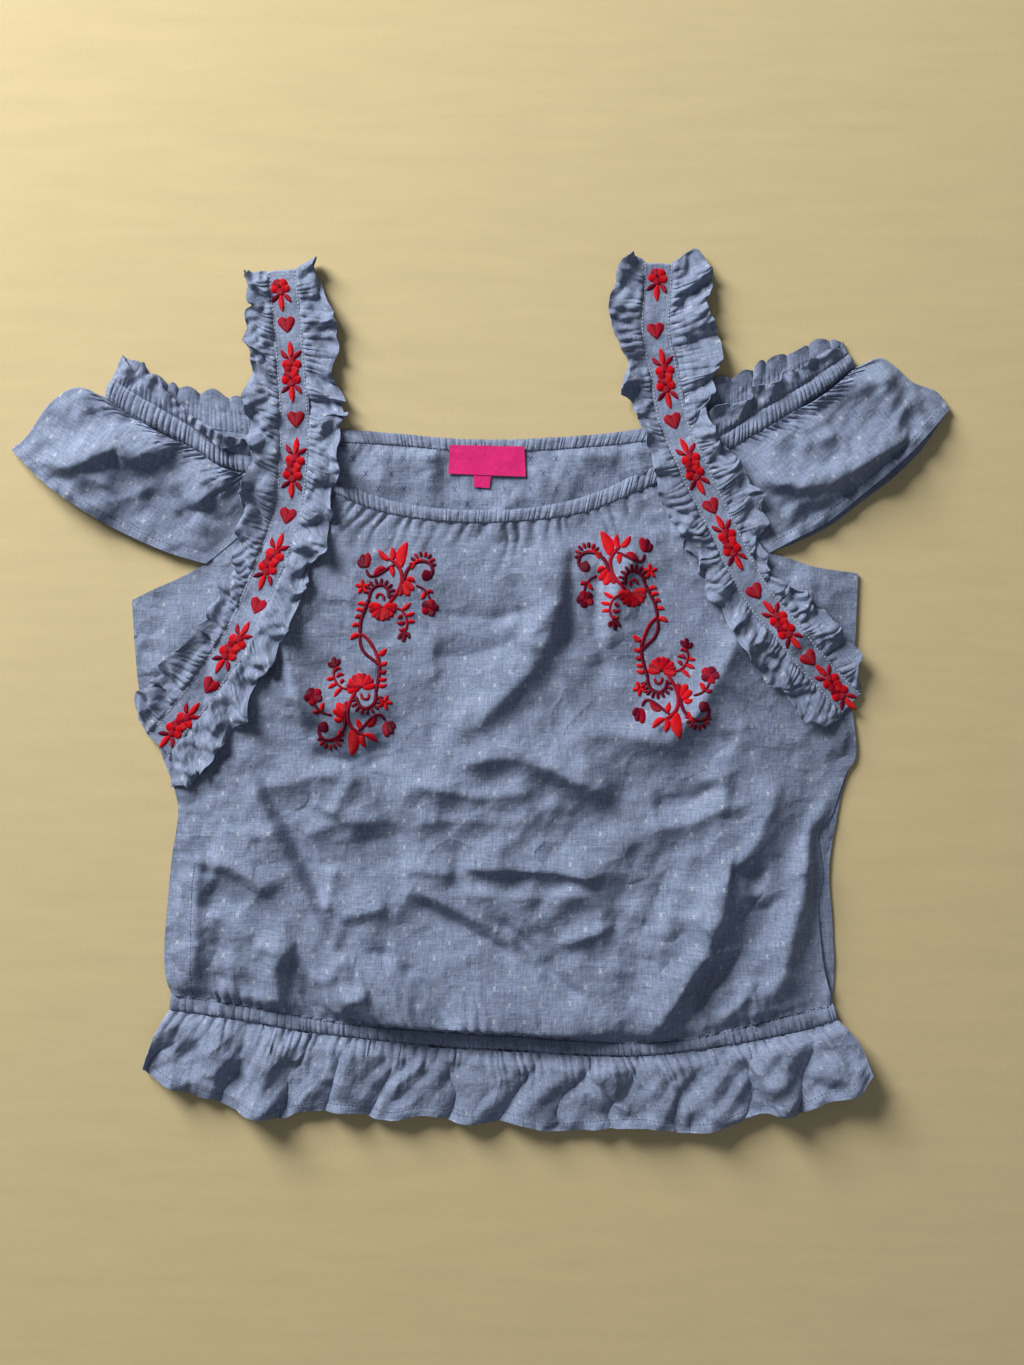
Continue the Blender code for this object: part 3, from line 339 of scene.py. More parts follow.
# One half of a front scroll. The other half is the same, turned by about half a circle.
SCROLL = [
    Stroke("maroon", "stem", 1.0, [(-3.2, 49.5), (-0.6, 45.0), (5.1, 46.3), (10.8, 50.1),
           (15.2, 52.6)]),
    Stroke("maroon", "petal", 2.6, [(-3.8, 50.1), (-4.4, 54.5), (-5.7, 59.0)]),
    Stroke("crimson", "petal", 2.5, [(-3.2, 50.1), (-2.5, 55.2), (-1.9, 60.2)]),
    Stroke("maroon", "petal", 1.8, [(-5.1, 50.1), (-7.0, 53.3), (-7.6, 55.8)]),
    Stroke("scarlet", "leaf", 2.0, [(12.0, 55.2), (8.2, 57.1), (4.4, 62.1)]),
    Stroke("scarlet", "leaf", 2.0, [(12.7, 54.5), (13.9, 59.0), (12.7, 64.0)]),
    Stroke("crimson", "leaf", 2.2, [(9.5, 50.1), (5.7, 49.5), (1.3, 45.0)]),
    Stroke("scarlet", "leaf", 1.8, [(12.0, 52.0), (13.3, 48.8), (13.9, 44.4)]),
    Stroke("scarlet", "leaf", 3.6, [(19.0, 50.1), (19.0, 58.3), (22.8, 67.2)]),
    Stroke("crimson", "stem", 1.2, [(11.4, 56.4), (15.8, 52.6), (19.0, 47.5), (19.0, 40.6),
           (15.8, 33.6), (10.8, 27.3)]),
    Stroke("maroon", "stem", 1.2, [(20.3, 39.3), (22.2, 47.5), (26.6, 52.6), (32.3, 54.5),
           (37.4, 52.6), (38.7, 47.5), (35.5, 43.1)]),
    Stroke("maroon", "petal", 3.8, [(37.4, 48.2), (34.9, 45.6), (31.7, 45.6)]),
    Stroke("scarlet", "leaf", 1.4, [(25.4, 48.8), (27.9, 53.9), (33.0, 55.8)]),
    Stroke("scarlet", "petal", 2.5, [(20.9, 42.5), (23.5, 39.3), (27.3, 36.1)]),
    Stroke("scarlet", "petal", 2.6, [(20.3, 41.2), (21.6, 36.8), (24.1, 32.3)]),
    Stroke("crimson", "petal", 2.1, [(19.7, 40.6), (19.0, 36.1), (17.8, 32.3)]),
    Stroke("scarlet", "leaf", 1.8, [(22.2, 43.1), (25.4, 43.1), (27.9, 41.2)]),
    Stroke("maroon", "stem", 0.8, [(27.9, 39.3), (32.3, 37.4), (35.5, 34.2), (37.4, 29.8)]),
    Stroke("crimson", "leaf", 1.5, [(34.9, 34.9), (37.4, 35.5), (39.3, 34.2)]),
    Stroke("scarlet", "leaf", 1.5, [(34.2, 35.5), (33.0, 32.3), (31.1, 30.4)]),
    Stroke("maroon", "stem", 1.2, [(-1.3, 30.4), (0.0, 35.5), (3.2, 38.7), (7.6, 39.3), (10.8, 36.1),
           (11.4, 30.4)]),
    Stroke("crimson", "stem", 0.9, [(3.2, 30.4), (4.4, 33.6), (7.6, 33.0), (8.2, 29.2)]),
    Stroke("crimson", "stem", 0.8, [(13.3, 25.4), (18.4, 24.1), (21.6, 20.3), (22.8, 15.2),
           (20.9, 8.9)]),
    Stroke("scarlet", "leaf", 1.4, [(19.0, 23.5), (22.2, 25.4), (25.4, 28.5)]),
    Stroke("scarlet", "leaf", 1.4, [(21.6, 20.3), (24.7, 20.9), (27.9, 22.2)]),
    Stroke("scarlet", "leaf", 1.4, [(22.8, 16.5), (25.4, 16.5), (27.9, 16.5)]),
    Stroke("crimson", "leaf", 1.4, [(19.7, 20.9), (17.8, 19.0), (16.5, 19.7)]),
    Stroke("crimson", "leaf", 1.4, [(21.6, 16.5), (19.0, 15.2), (15.8, 15.8)]),
    Stroke("crimson", "leaf", 1.4, [(22.2, 12.7), (19.7, 10.8), (17.1, 12.0)]),
    Stroke("maroon", "petal", 1.8, [(21.6, 10.8), (20.9, 7.6), (20.3, 3.2)]),
    Stroke("maroon", "petal", 1.4, [(20.9, 9.5), (18.4, 7.6), (17.1, 5.1)]),
    Stroke("maroon", "petal", 1.4, [(21.6, 9.5), (23.5, 8.2), (24.1, 5.7)]),
    Stroke("maroon", "stem", 1.2, [(-0.6, 31.7), (-3.8, 24.1), (-6.3, 16.5), (-7.0, 8.4)]),
    Stroke("scarlet", "leaf", 1.5, [(-3.2, 26.6), (-5.7, 27.9), (-8.9, 27.3)]),
    Stroke("scarlet", "leaf", 1.5, [(-4.4, 22.8), (-7.0, 24.1), (-9.5, 23.5)]),
    Stroke("crimson", "leaf", 1.5, [(-5.7, 18.4), (-8.2, 19.7), (-10.1, 18.4)]),
    Stroke("scarlet", "leaf", 1.5, [(-7.0, 13.9), (-9.5, 14.6), (-12.0, 13.3)]),
    Stroke("scarlet", "leaf", 1.8, [(-7.0, 8.2), (-10.1, 7.6), (-13.3, 5.1)]),
]
SCROLL_FANS = [
    Fan("scarlet", "crimson", 7.4, 25.8, 0.5, 9.4, 176, 364, 9, 2.6),
    Fan("scarlet", "scarlet", 7.4, 25.8, 0.4, 6.4, 188, 352, 6, 2.1),
    Fan("maroon", "crimson", 7.4, 26.2, 0.2, 3.4, 205, 335, 4, 1.1),
    Fan("maroon", "maroon", 5.4, 33.4, 6.2, 10.6, -5, 170, 9, 1.15),
    Fan("maroon", "crimson", 32.4, 52.3, 4.6, 8.8, 0, 175, 8, 1.2),
    Fan("scarlet", "scarlet", -5.2, 38.2, 0.2, 5.0, 20, 308, 5, 1.3),
    Fan("maroon", "crimson", 37.0, 25.2, 0.8, 5.8, 0, 288, 5, 2.7),
    Fan("crimson", "crimson", 37.0, 25.2, 0.1, 2.4, 30, 270, 3, 1.2),
]
# The open link between two halves, placed with the upper one.
SCROLL_LINK = [
    Stroke("maroon", "stem", 1.1, [(-7.0, 9.4), (-6.4, 1.6), (-3.2, -4.0), (1.4, -7.6), (5.3, -11.2)]),
    Stroke("crimson", "stem", 1.1, [(-7.0, 9.4), (-2.2, 5.6), (1.6, -0.2), (4.2, -6.0), (5.4, -12.4)]),
]
# Where the four halves stand, how far each is turned in degrees, its mirroring and its link.
SCROLL_PLACES = [
    Place((-68.5, 27.9), 0, 1, SCROLL_LINK),
    Place((-72.7, 29.8), 192, 1, []),
    Place((105.9, 37.4), 6, -1, SCROLL_LINK),
    Place((109.9, 39.7), 174, -1, []),
]

# Filled as the script runs: the surface of each piece of cloth, and the materials.
shells = {}
finishes = {}


class NodeDesk:
    """Adds nodes to one tree, with values or sockets as their inputs."""

    def __init__(self, tree):
        self.tree = tree

    def add(self, kind, inputs=(), **settings):
        made = self.tree.nodes.new(kind)
        for name, value in settings.items():
            setattr(made, name, value)
        for key, value in inputs.items() if isinstance(inputs, dict) else enumerate(inputs):
            if isinstance(value, bpy.types.NodeSocket):
                self.tree.links.new(value, made.inputs[key])
            elif value is not None:
                made.inputs[key].default_value = value
        return made

    def maths(self, operation, *values):
        return self.add("ShaderNodeMath", values, operation=operation).outputs[0]

    def clamped(self, value, low, high, start=0.0, end=1.0):
        inputs = {"Value": value, "From Min": low, "From Max": high, "To Min": start, "To Max": end}
        return self.add("ShaderNodeMapRange", inputs).outputs[0]

    def blend(self, share, first, second):
        made = self.add("ShaderNodeMix", data_type="RGBA")
        for key, value in ((0, share), (6, first), (7, second)):
            if isinstance(value, bpy.types.NodeSocket):
                self.tree.links.new(value, made.inputs[key])
            else:
                made.inputs[key].default_value = value
        return made.outputs[2]

    def noise(self, place, scale, detail=2.0, rough=0.5):
        inputs = {"Vector": place, "Scale": scale, "Detail": detail, "Roughness": rough}
        return self.add("ShaderNodeTexNoise", inputs).outputs[0]

    def facets(self, place):
        """Soft hollows with sharp straight lines between them, one to each unit of place."""
        reach = self.add("ShaderNodeTexVoronoi", {"Vector": place, "Scale": 1.0}).outputs["Distance"]
        return self.maths("MULTIPLY", reach, reach)

    def scaled(self, place, x, y, turn=0.0):
        inputs = {"Vector": place, "Scale": (x, y, 1.0), "Rotation": (0.0, 0.0, turn)}
        return self.add("ShaderNodeMapping", inputs).outputs[0]

    def cloth_place(self):
        """Distances over the cloth in metres, from the piece's own UV map."""
        return self.add("ShaderNodeUVMap", uv_map="cloth").outputs[0]

    def weighted(self, *pairs):
        """The sum of some values, each times its weight."""
        parts = [self.maths("MULTIPLY", value, weight) for value, weight in pairs]
        total = parts[0]
        for part in parts[1:]:
            total = self.maths("ADD", total, part)
        return total

    def bump(self, height, strength, distance, over=None):
        """The normal of a bumpy surface, on top of another bump where one is given."""
        inputs = {"Strength": strength, "Distance": distance, "Height": height, "Normal": over}
        return self.add("ShaderNodeBump", inputs).outputs[0]

    def feed(self, shader, colour, normal):
        """Gives the shader its colour and its normal."""
        self.tree.links.new(colour, shader.inputs["Base Color"])
        self.tree.links.new(normal, shader.inputs["Normal"])


def toned(colour, share):
    """A colour made darker or paler, with its alpha at 1."""
    return tuple(min(1.0, channel * share) for channel in colour[:3]) + (1.0,)


def new_finish(name, roughness, sheen=0.0, tint=(1, 1, 1, 1)):
    """The shader of a fresh material, and the desk for its nodes."""
    made = bpy.data.materials.new(name)
    made.use_nodes = True
    shader = made.node_tree.nodes["Principled BSDF"]
    shader.inputs["Roughness"].default_value = roughness
    shader.inputs["Sheen Weight"].default_value = sheen
    shader.inputs["Sheen Roughness"].default_value = 0.45
    shader.inputs["Sheen Tint"].default_value = tint
    shader.inputs["Specular IOR Level"].default_value = 0.25
    finishes[name] = made
    return shader, NodeDesk(made.node_tree)


def woven_mark(desk, uv, step, half):
    """How strongly small woven crosses show, on a staggered grid. The step is in metres, half in mm."""
    split = desk.add("ShaderNodeSeparateXYZ", [uv])
    row = desk.maths("DIVIDE", split.outputs[1], step[1])
    row_index = desk.maths("FLOOR", row)
    offset = desk.maths("MULTIPLY", desk.maths("PINGPONG", row_index, 1.0), 0.5)
    column = desk.maths("ADD", desk.maths("DIVIDE", split.outputs[0], step[0]), offset)
    cell = desk.add("ShaderNodeCombineXYZ", [desk.maths("FLOOR", column), row_index])
    luck = desk.add("ShaderNodeTexWhiteNoise", [cell.outputs[0]], noise_dimensions="2D").outputs[0]
    side = desk.maths("SUBTRACT", desk.maths("FRACT", column), 0.5)
    high = desk.maths("SUBTRACT", desk.maths("FRACT", row), 0.5)
    across = desk.maths("ABSOLUTE", desk.maths("MULTIPLY", side, step[0] * 1000))
    along_warp = desk.maths("ABSOLUTE", desk.maths("MULTIPLY", high, step[1] * 1000))
    off = desk.maths("SUBTRACT", desk.maths("MULTIPLY", across, 1.5), along_warp)
    arm = desk.clamped(desk.maths("ABSOLUTE", off), 0.25, 0.75, 1.0, 0.0)
    farthest = desk.maths("MAXIMUM", across, along_warp)
    inside = desk.clamped(farthest, half - 0.2, half + 0.3, 1.0, 0.0)
    return desk.maths("MULTIPLY", desk.maths("MULTIPLY", arm, inside), desk.clamped(luck, 0, 1, 0.35, 1.0))


def chambray(name, dark, pale, marks, mark_strength, mark_step=(0.019, 0.0085), mark_half=1.2):
    """Blue warp and pale weft, with slubs, mottling, woven cross marks and fine pressed-in creases."""
    shader, desk = new_finish(name, roughness=0.82, sheen=0.1, tint=(0.75, 0.82, 1.0, 1.0))
    uv = desk.cloth_place()
    warp = desk.noise(desk.scaled(uv, 1500, 110), 1.0, 2.0)
    weft = desk.noise(desk.scaled(uv, 110, 1500), 1.0, 2.0)
    warp_slub = desk.noise(desk.scaled(uv, 800, 55), 1.0, 1.0)
    weft_slub = desk.noise(desk.scaled(uv, 50, 850), 1.0, 1.0)
    mottle = desk.noise(uv, 560, 3.0, 0.7)
    cloud = desk.noise(uv, 26, 2.0)
    threads = desk.maths("ADD", warp, weft)
    slubs = desk.maths("ADD", warp_slub, weft_slub)
    mix = desk.weighted((threads, 0.55), (slubs, 0.3), (mottle, 0.75), (cloud, 0.35))
    mark = woven_mark(desk, uv, mark_step, mark_half)
    colour = desk.blend(desk.clamped(mix, 0.97, 1.83), dark, pale)
    colour = desk.blend(desk.maths("MULTIPLY", mark, mark_strength), colour, marks)

    height = desk.weighted((threads, 0.35), (slubs, 0.25), (mark, 0.5))
    weave = desk.bump(height, strength=0.55, distance=0.00025)
    wrinkled = desk.bump(desk.noise(uv, 150, 3.0, 0.6), strength=0.6, distance=0.0012, over=weave)
    broad = desk.facets(desk.scaled(uv, 26, 15, 0.6))
    broad = desk.maths("MULTIPLY", broad, desk.clamped(cloud, 0.45, 0.62))
    small = desk.facets(desk.scaled(uv, 44, 70, -0.5))
    small = desk.maths("MULTIPLY", small, desk.clamped(cloud, 0.55, 0.4, 0.05, 0.3))
    height = desk.maths("ADD", broad, small)
    desk.feed(shader, colour, desk.bump(height, strength=0.9, distance=0.006, over=wrinkled))


def satin_thread(name, colour, deep):
    """Glossy satin stitch: threads run across each stroke, lighter and darker by turns."""
    shader, desk = new_finish(name, roughness=0.5)
    shader.inputs["Specular IOR Level"].default_value = 0.12
    uv = desk.cloth_place()
    split = desk.add("ShaderNodeSeparateXYZ", [uv])
    slant = desk.maths("ADD", split.outputs[0], desk.maths("MULTIPLY", split.outputs[1], 0.45))
    wave = desk.maths("SINE", desk.maths("MULTIPLY", slant, 2 * math.pi / SATIN_STEP))
    streak = desk.noise(desk.scaled(uv, 2400, 260), 1.0, 2.0, 0.6)
    share = desk.weighted((streak, 0.8), (desk.noise(uv, 420, 2.0), 0.5))
    tint = desk.blend(desk.clamped(share, 0.4, 0.9), deep, colour)
    height = desk.maths("ADD", desk.maths("MULTIPLY", wave, 0.5), streak)
    desk.feed(shader, tint, desk.bump(height, strength=0.7, distance=0.00022))


def sewing_thread(name, colour, deep):
    """Thin twisted thread for the stitch lines."""
    shader, desk = new_finish(name, roughness=0.6, sheen=0.1)
    place = desk.add("ShaderNodeTexCoord").outputs["Object"]
    twist = desk.noise(place, 2600, 2.0)
    share = desk.weighted((twist, 0.6), (desk.noise(place, 160, 1.0), 0.4))
    tint = desk.blend(desk.clamped(share, 0.35, 0.65), deep, colour)
    desk.feed(shader, tint, desk.bump(twist, strength=0.5, distance=0.0001))


def woven_label(name, colour, deep):
    """Plain satin-woven label cloth, with no words."""
    shader, desk = new_finish(name, roughness=0.42, sheen=0.12, tint=(1.0, 0.8, 0.85, 1.0))
    uv = desk.cloth_place()
    rib = desk.noise(desk.scaled(uv, 160, 2600), 1.0, 1.0)
    thread = desk.noise(desk.scaled(uv, 2200, 260), 1.0, 1.0)
    height = desk.maths("ADD", rib, thread)
    tint = desk.blend(desk.clamped(height, 0.75, 1.25), deep, colour)
    desk.feed(shader, tint, desk.bump(height, strength=0.5, distance=0.00025))


def floor_finish(name, colour):
    """A plain pale floor with the faintest grain."""
    shader, desk = new_finish(name, roughness=0.7)
    place = desk.add("ShaderNodeTexCoord").outputs["Object"]
    grain = desk.noise(desk.scaled(place, 14, 90), 1.0, 3.0, 0.55)
    speck = desk.noise(place, 420, 2.0)
    share = desk.weighted((grain, 0.7), (speck, 0.3))
    tint = desk.blend(desk.clamped(share, 0.3, 0.7), toned(colour, 0.95), toned(colour, 1.04))
    desk.feed(shader, tint, desk.bump(speck, strength=0.1, distance=0.0003))


def smooth_route(points, steps=12):
    """Many points along a soft curve through the given ones."""
    given = np.array(points, float)
    slopes = np.gradient(given, axis=0)
    share = np.linspace(0, 1, steps, endpoint=False)[:, None]
    pieces = []
    for start, end, out, into in zip(given[:-1], given[1:], slopes[:-1], slopes[1:]):
        square, cube = share**2, share**3
        pieces.append(
            (2 * cube - 3 * square + 1) * start
            + (cube - 2 * square + share) * out
            + (3 * square - 2 * cube) * end
            + (cube - square) * into
        )
    return np.vstack(pieces + [given[-1:]])


def reached_of(points):
    """The share of a route's length that is behind each of its points."""
    lengths = np.linalg.norm(np.diff(points, axis=0), axis=1)
    return np.concatenate([[0], np.cumsum(lengths)]) / lengths.sum()


def along(points, fractions):
    """The places at these fractions of a soft route's length, with the table's further columns."""
    route = smooth_route(points)
    reached = reached_of(route[:, :2])
    return np.stack([np.interp(fractions, reached, column) for column in route.T], axis=1)


def edge_of(parts):
    """The points of an edge made of stretches, each a route and its number of steps."""
    points = [along(route, np.linspace(0, 1, steps + 1)) for route, steps in parts]
    return np.vstack([points[0]] + [stretch[1:] for stretch in points[1:]])


def patch(top, bottom, left, right, across):
    """Rows of x, y filling the area inside four edges, as a Coons patch."""
    u = np.linspace(0, 1, across + 1)
    upper, lower = along(top, u), along(bottom, u)
    first, last = edge_of(left), edge_of(right)
    v = (reached_of(first) + reached_of(last)) / 2
    u, v = u[None, :, None], v[:, None, None]
    ruled = (1 - v) * upper[None] + v * lower[None] + (1 - u) * first[:, None] + u * last[:, None]
    corners = (1 - v) * ((1 - u) * upper[0] + u * upper[-1]) + v * ((1 - u) * lower[0] + u * lower[-1])
    return ruled - corners


def strip(low, high, count, rows):
    """Rows of x, y between two edges that run the same way."""
    fractions = np.linspace(0, 1, count + 1)
    share = np.linspace(0, 1, rows + 1)[:, None, None]
    return (1 - share) * along(low, fractions)[None] + share * along(high, fractions)[None]


def ease(value):
    """0 up to 0, 1 from 1 on, and a soft step between."""
    value = np.clip(value, 0, 1)
    return value * value * (3 - 2 * value)


def unit(vectors):
    """Vectors of the same directions with a length of 1."""
    return vectors / np.linalg.norm(vectors, axis=-1, keepdims=True)


def humps(phase, power):
    """0 at whole numbers and 1 halfway between them, broader for a lower power."""
    return np.abs(np.sin(math.pi * phase)) ** power


def varied(phase, count, low, high, rng):
    """A random value for each gather, blended from one gather to the next."""
    return np.interp(phase, np.arange(count + 1), rng.uniform(low, high, count + 1))


def edge_distance(flat, outline):
    """How far each place is from an edge."""
    rim = smooth_route(outline, 6)
    return np.linalg.norm(flat[..., None, :] - rim, axis=-1).min(axis=-1)


def fold_shape(flat, fold):
    """The height and the sideways shift that one fold gives each place."""
    route = smooth_route(fold.route, 4)
    reach = 3.2 * max(fold.left, fold.right)
    near = ((flat > route.min(axis=0) - reach) & (flat < route.max(axis=0) + reach)).all(axis=-1)
    height = np.zeros(flat.shape[:-1])
    shift = np.zeros_like(flat)
    spots = flat[near]
    if not len(spots):
        return height, shift
    best = np.full(len(spots), np.inf)
    side = np.zeros(len(spots))
    reached = np.zeros(len(spots))
    off_way = np.zeros((len(spots), 2))
    done = 0.0
    for start, end in zip(route[:-1], route[1:]):
        length = np.linalg.norm(end - start)
        way = (end - start) / length
        ahead = np.clip((spots - start) @ way, 0, length)
        off = spots - (start + ahead[:, None] * way)
        distance = np.linalg.norm(off, axis=1)
        nearer = distance < best
        best[nearer] = distance[nearer]
        side[nearer] = (way[0] * off[:, 1] - way[1] * off[:, 0])[nearer]
        reached[nearer] = (done + ahead)[nearer]
        off_way[nearer] = (way[1], -way[0])
        done += length
    width = np.where(side > 0, fold.left, fold.right)
    ends = ease(reached / (0.2 * done)) * ease((done - reached) / (0.2 * done))
    amount = ends * np.exp(-(((np.sqrt(best**2 + 1.4) - 1.18) / width) ** fold.sharp))
    height[near] = fold.height * amount
    shift[near] = fold.lean * amount[:, None] * off_way
    return height, shift


def fold_sum(flat, folds):
    """The height and the sideways shift that a table of folds gives each place."""
    height = np.zeros(flat.shape[:-1])
    shift = np.zeros_like(flat)
    for fold in folds:
        more, moved = fold_shape(flat, fold)
        height += more
        shift += moved
    return height, shift


def soft_noise(flat, size, seed):
    """A smooth random height from -1 to 1 whose lumps are about size apart."""
    table = np.random.default_rng(seed).uniform(-1, 1, (NOISE_CELLS, NOISE_CELLS))
    place = flat / size
    corner = np.floor(place).astype(int)
    part = place - corner
    part = part**3 * (part * (part * 6 - 15) + 10)
    across, up = part[..., 0], part[..., 1]
    x, y = corner[..., 0] % NOISE_CELLS, corner[..., 1] % NOISE_CELLS
    next_x, next_y = (x + 1) % NOISE_CELLS, (y + 1) % NOISE_CELLS
    low = table[x, y] * (1 - across) + table[next_x, y] * across
    high = table[x, next_y] * (1 - across) + table[next_x, next_y] * across
    return low * (1 - up) + high * up


def crumple(flat, size, seed, stretch=(1.0, 1.0)):
    """Creased cloth, about -0.5 to 0.5: sharp lines between soft facets."""
    spots = flat / np.array(stretch)
    bend = np.stack([soft_noise(spots, size * 1.4, seed + more) for more in (1, 2)], axis=-1)
    spots = spots + bend * size * 0.45
    ridge = 1 - np.abs(soft_noise(spots, size, seed))
    groove = np.abs(soft_noise(spots + 31.7, size * 0.9, seed + 3))
    return ridge**2 * 0.6 + groove * 0.4 - 0.5


def creases(flat, step, seed, ways=4):
    """Pressed-in cloth, about -1 to 1: nearly straight sharp lines that cross, start and die away."""
    rng = np.random.default_rng(seed)
    total = np.zeros(flat.shape[:-1])
    for way in range(ways):
        angle = math.pi * (way + rng.uniform(0.1, 0.9)) / ways
        across = flat[..., 0] * math.cos(angle) + flat[..., 1] * math.sin(angle)
        across = across + 0.3 * step * soft_noise(flat, step * 2.1, seed + way)
        phase = across / (step * rng.uniform(0.9, 1.5)) + rng.uniform()
        folded = 2 * np.abs(phase - np.floor(phase) - 0.5) - 0.5
        total += folded * np.clip(2.4 * soft_noise(flat + 19.3, step * 2.8, seed + 40 + way), 0, 1)
    return total


def uneven(share, count, seed, spread=0.45):
    """The gather that each place along a seam belongs to, with gathers of uneven width."""
    rng = np.random.default_rng(seed)
    steps = rng.uniform(1 - spread, 1 + spread, count)
    crests = np.concatenate([[0], np.cumsum(steps)]) / steps.sum()
    return np.interp(share, crests, np.arange(count + 1))


def seam_gathers(share, distance, count, height, length, seed):
    """Uneven little folds that run off a seam and die away."""
    rng = np.random.default_rng(seed + 50)
    phase = uneven(share, count, seed, 0.6)
    phase = phase + 0.3 * np.sin(distance / 8 + 31 * share) * ease(distance / 12)
    lengths = varied(phase, count, 0.25, 1.5, rng) * length
    heights = varied(phase, count, 0.1, 1.25, rng) * height
    wave = 1 - (0.5 + 0.5 * np.cos(2 * math.pi * phase)) ** 2
    return heights * wave * np.exp(-((distance / lengths) ** 1.4))


def top_at(x, y, names):
    """The highest point of the named pieces at a place, or -1 where there is none."""
    start = Vector((x, y, RAY_TOP))
    hits = [shells[name].ray_cast(start, Vector((0, 0, -1)))[0] for name in names]
    return max((hit.z for hit in hits if hit is not None), default=-1.0)


def carried(flat, names, reach):
    """The highest point of the named pieces within reach of each place, or zero on the surface."""
    around = [(0.0, 0.0)]
    for ring in (0.5, 1.0):
        for turn in range(8):
            angle = turn * math.pi / 4
            around.append((ring * reach * math.cos(angle), ring * reach * math.sin(angle)))
    heights = np.zeros(flat.shape[:-1])
    for index in np.ndindex(heights.shape):
        x, y = flat[index]
        heights[index] = max(0.0, max(top_at(x + aside, y + up, names) for aside, up in around))
    return heights


def dropped(flat, names, lift, missing):
    """Points lying on the named pieces, lifted by some millimetres."""
    spots = np.array(flat, float).reshape(-1, 2)
    heights = np.array([top_at(x, y, names) for x, y in spots])
    found = heights >= 0
    heights[~found] = heights[found].mean() if found.any() else missing
    return np.column_stack([spots, heights + np.ravel(lift)])


def raised(flat, height):
    """Places and their heights as points."""
    return np.concatenate([flat, np.broadcast_to(height, flat.shape[:-1])[..., None]], axis=-1)


def turn_under(front, back, arc=9):
    """Joins a front and a back layer round the fold at their last columns."""
    outward = front[:, -1, :2] - front[:, -3, :2]
    outward = outward / np.maximum(np.linalg.norm(outward, axis=1, keepdims=True), 1e-6)
    top, low = front[:, -1], back[:, -1]
    radius = np.abs(top[:, 2] - low[:, 2]) / 2
    columns = []
    for step in range(1, arc + 1):
        angle = math.pi * step / (arc + 1)
        spot = top * (1 + math.cos(angle)) / 2 + low * (1 - math.cos(angle)) / 2
        spot[:, :2] += outward * (radius * math.sin(angle))[:, None]
        columns.append(spot)
    return np.concatenate([front, np.stack(columns, axis=1), back[:, ::-1]], axis=1)


def normals_of(middle):
    """The normals of a surface, and whether its upper layer's point down."""
    normal = np.cross(np.gradient(middle, axis=1), np.gradient(middle, axis=0))
    normal /= np.maximum(np.linalg.norm(normal, axis=2, keepdims=True), 1e-9)
    half = normal.shape[1] // 3
    return normal, normal[:, :half, 2].sum() < 0


def cloth_uv(middle):
    """Distances over the cloth in metres, across and down."""
    across = np.linalg.norm(np.diff(middle, axis=1), axis=2).mean(axis=0)
    down = np.linalg.norm(np.diff(middle, axis=0), axis=2).mean(axis=1)
    u = np.concatenate([[0], np.cumsum(across)])
    v = np.concatenate([[0], np.cumsum(down)])
    return np.stack(np.meshgrid(u, v), axis=-1) * MM


def new_piece(name, points, faces, uvs, finish):
    """A piece from numpy points in millimetres, faces and the UV maps named in a dictionary."""
    mesh = bpy.data.meshes.new(name)
    mesh.from_pydata(points * MM, [], faces)
    for uv_name, values in uvs.items():
        layer = mesh.uv_layers.new(name=uv_name)
        corner = np.empty(len(mesh.loops), np.int32)
        mesh.loops.foreach_get("vertex_index", corner)
        layer.data.foreach_set("uv", np.ascontiguousarray(values[corner], np.float32).ravel())
    mesh.shade_smooth()
    mesh.set_sharp_from_angle(angle=math.radians(SHARP_ANGLE))
    mesh.materials.append(finish)
    mesh.validate()
    piece = bpy.data.objects.new(name, mesh)
    bpy.context.scene.collection.objects.link(piece)
    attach(piece, ROOT)
    return piece


def shell(name, middle, cloth, finish, replaced, uv=None):
    """One thin closed cloth shell round a middle surface of rows and columns of points."""
    normal, upside_down = normals_of(middle)
    if upside_down:
        normal = -normal
    high = middle + normal * cloth / 2
    low = middle - normal * cloth / 2
    for skin in (high, low):
        skin[..., 2] = np.maximum(skin[..., 2], FLOOR_GAP)
    rows, columns = middle.shape[:2]
    points = np.concatenate([high.reshape(-1, 3), low.reshape(-1, 3)])
    index = np.arange(rows * columns).reshape(rows, columns)
    a, b = index[:-1, :-1].ravel(), index[:-1, 1:].ravel()
    c, d = index[1:, 1:].ravel(), index[1:, :-1].ravel()
    under = rows * columns
    rim = np.concatenate([index[0, :], index[1:, -1], index[-1, -2::-1], index[-2:0:-1, 0]])
    after = np.roll(rim, -1)
    faces = np.concatenate([
        np.stack([a, b, c, d], axis=1),
        np.stack([under + a, under + d, under + c, under + b], axis=1),
        np.stack([after, rim, under + rim, under + after], axis=1),
    ])
    if upside_down:
        faces = faces[:, ::-1]
    flat_uv = (cloth_uv(middle) if uv is None else uv).reshape(-1, 2)
    uvs = {"cloth": np.concatenate([flat_uv, flat_uv])}
    piece = new_piece(name, points, faces.tolist(), uvs, finish)
    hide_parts(replaced)
    shells[name] = BVHTree.FromPolygons(points.tolist(), faces.tolist())
    return piece


def hem_band(distance, width=5.5, rise=0.45):
    """The thicker turned hem near a free edge."""
    return rise * ease((width - distance) / 1.2)


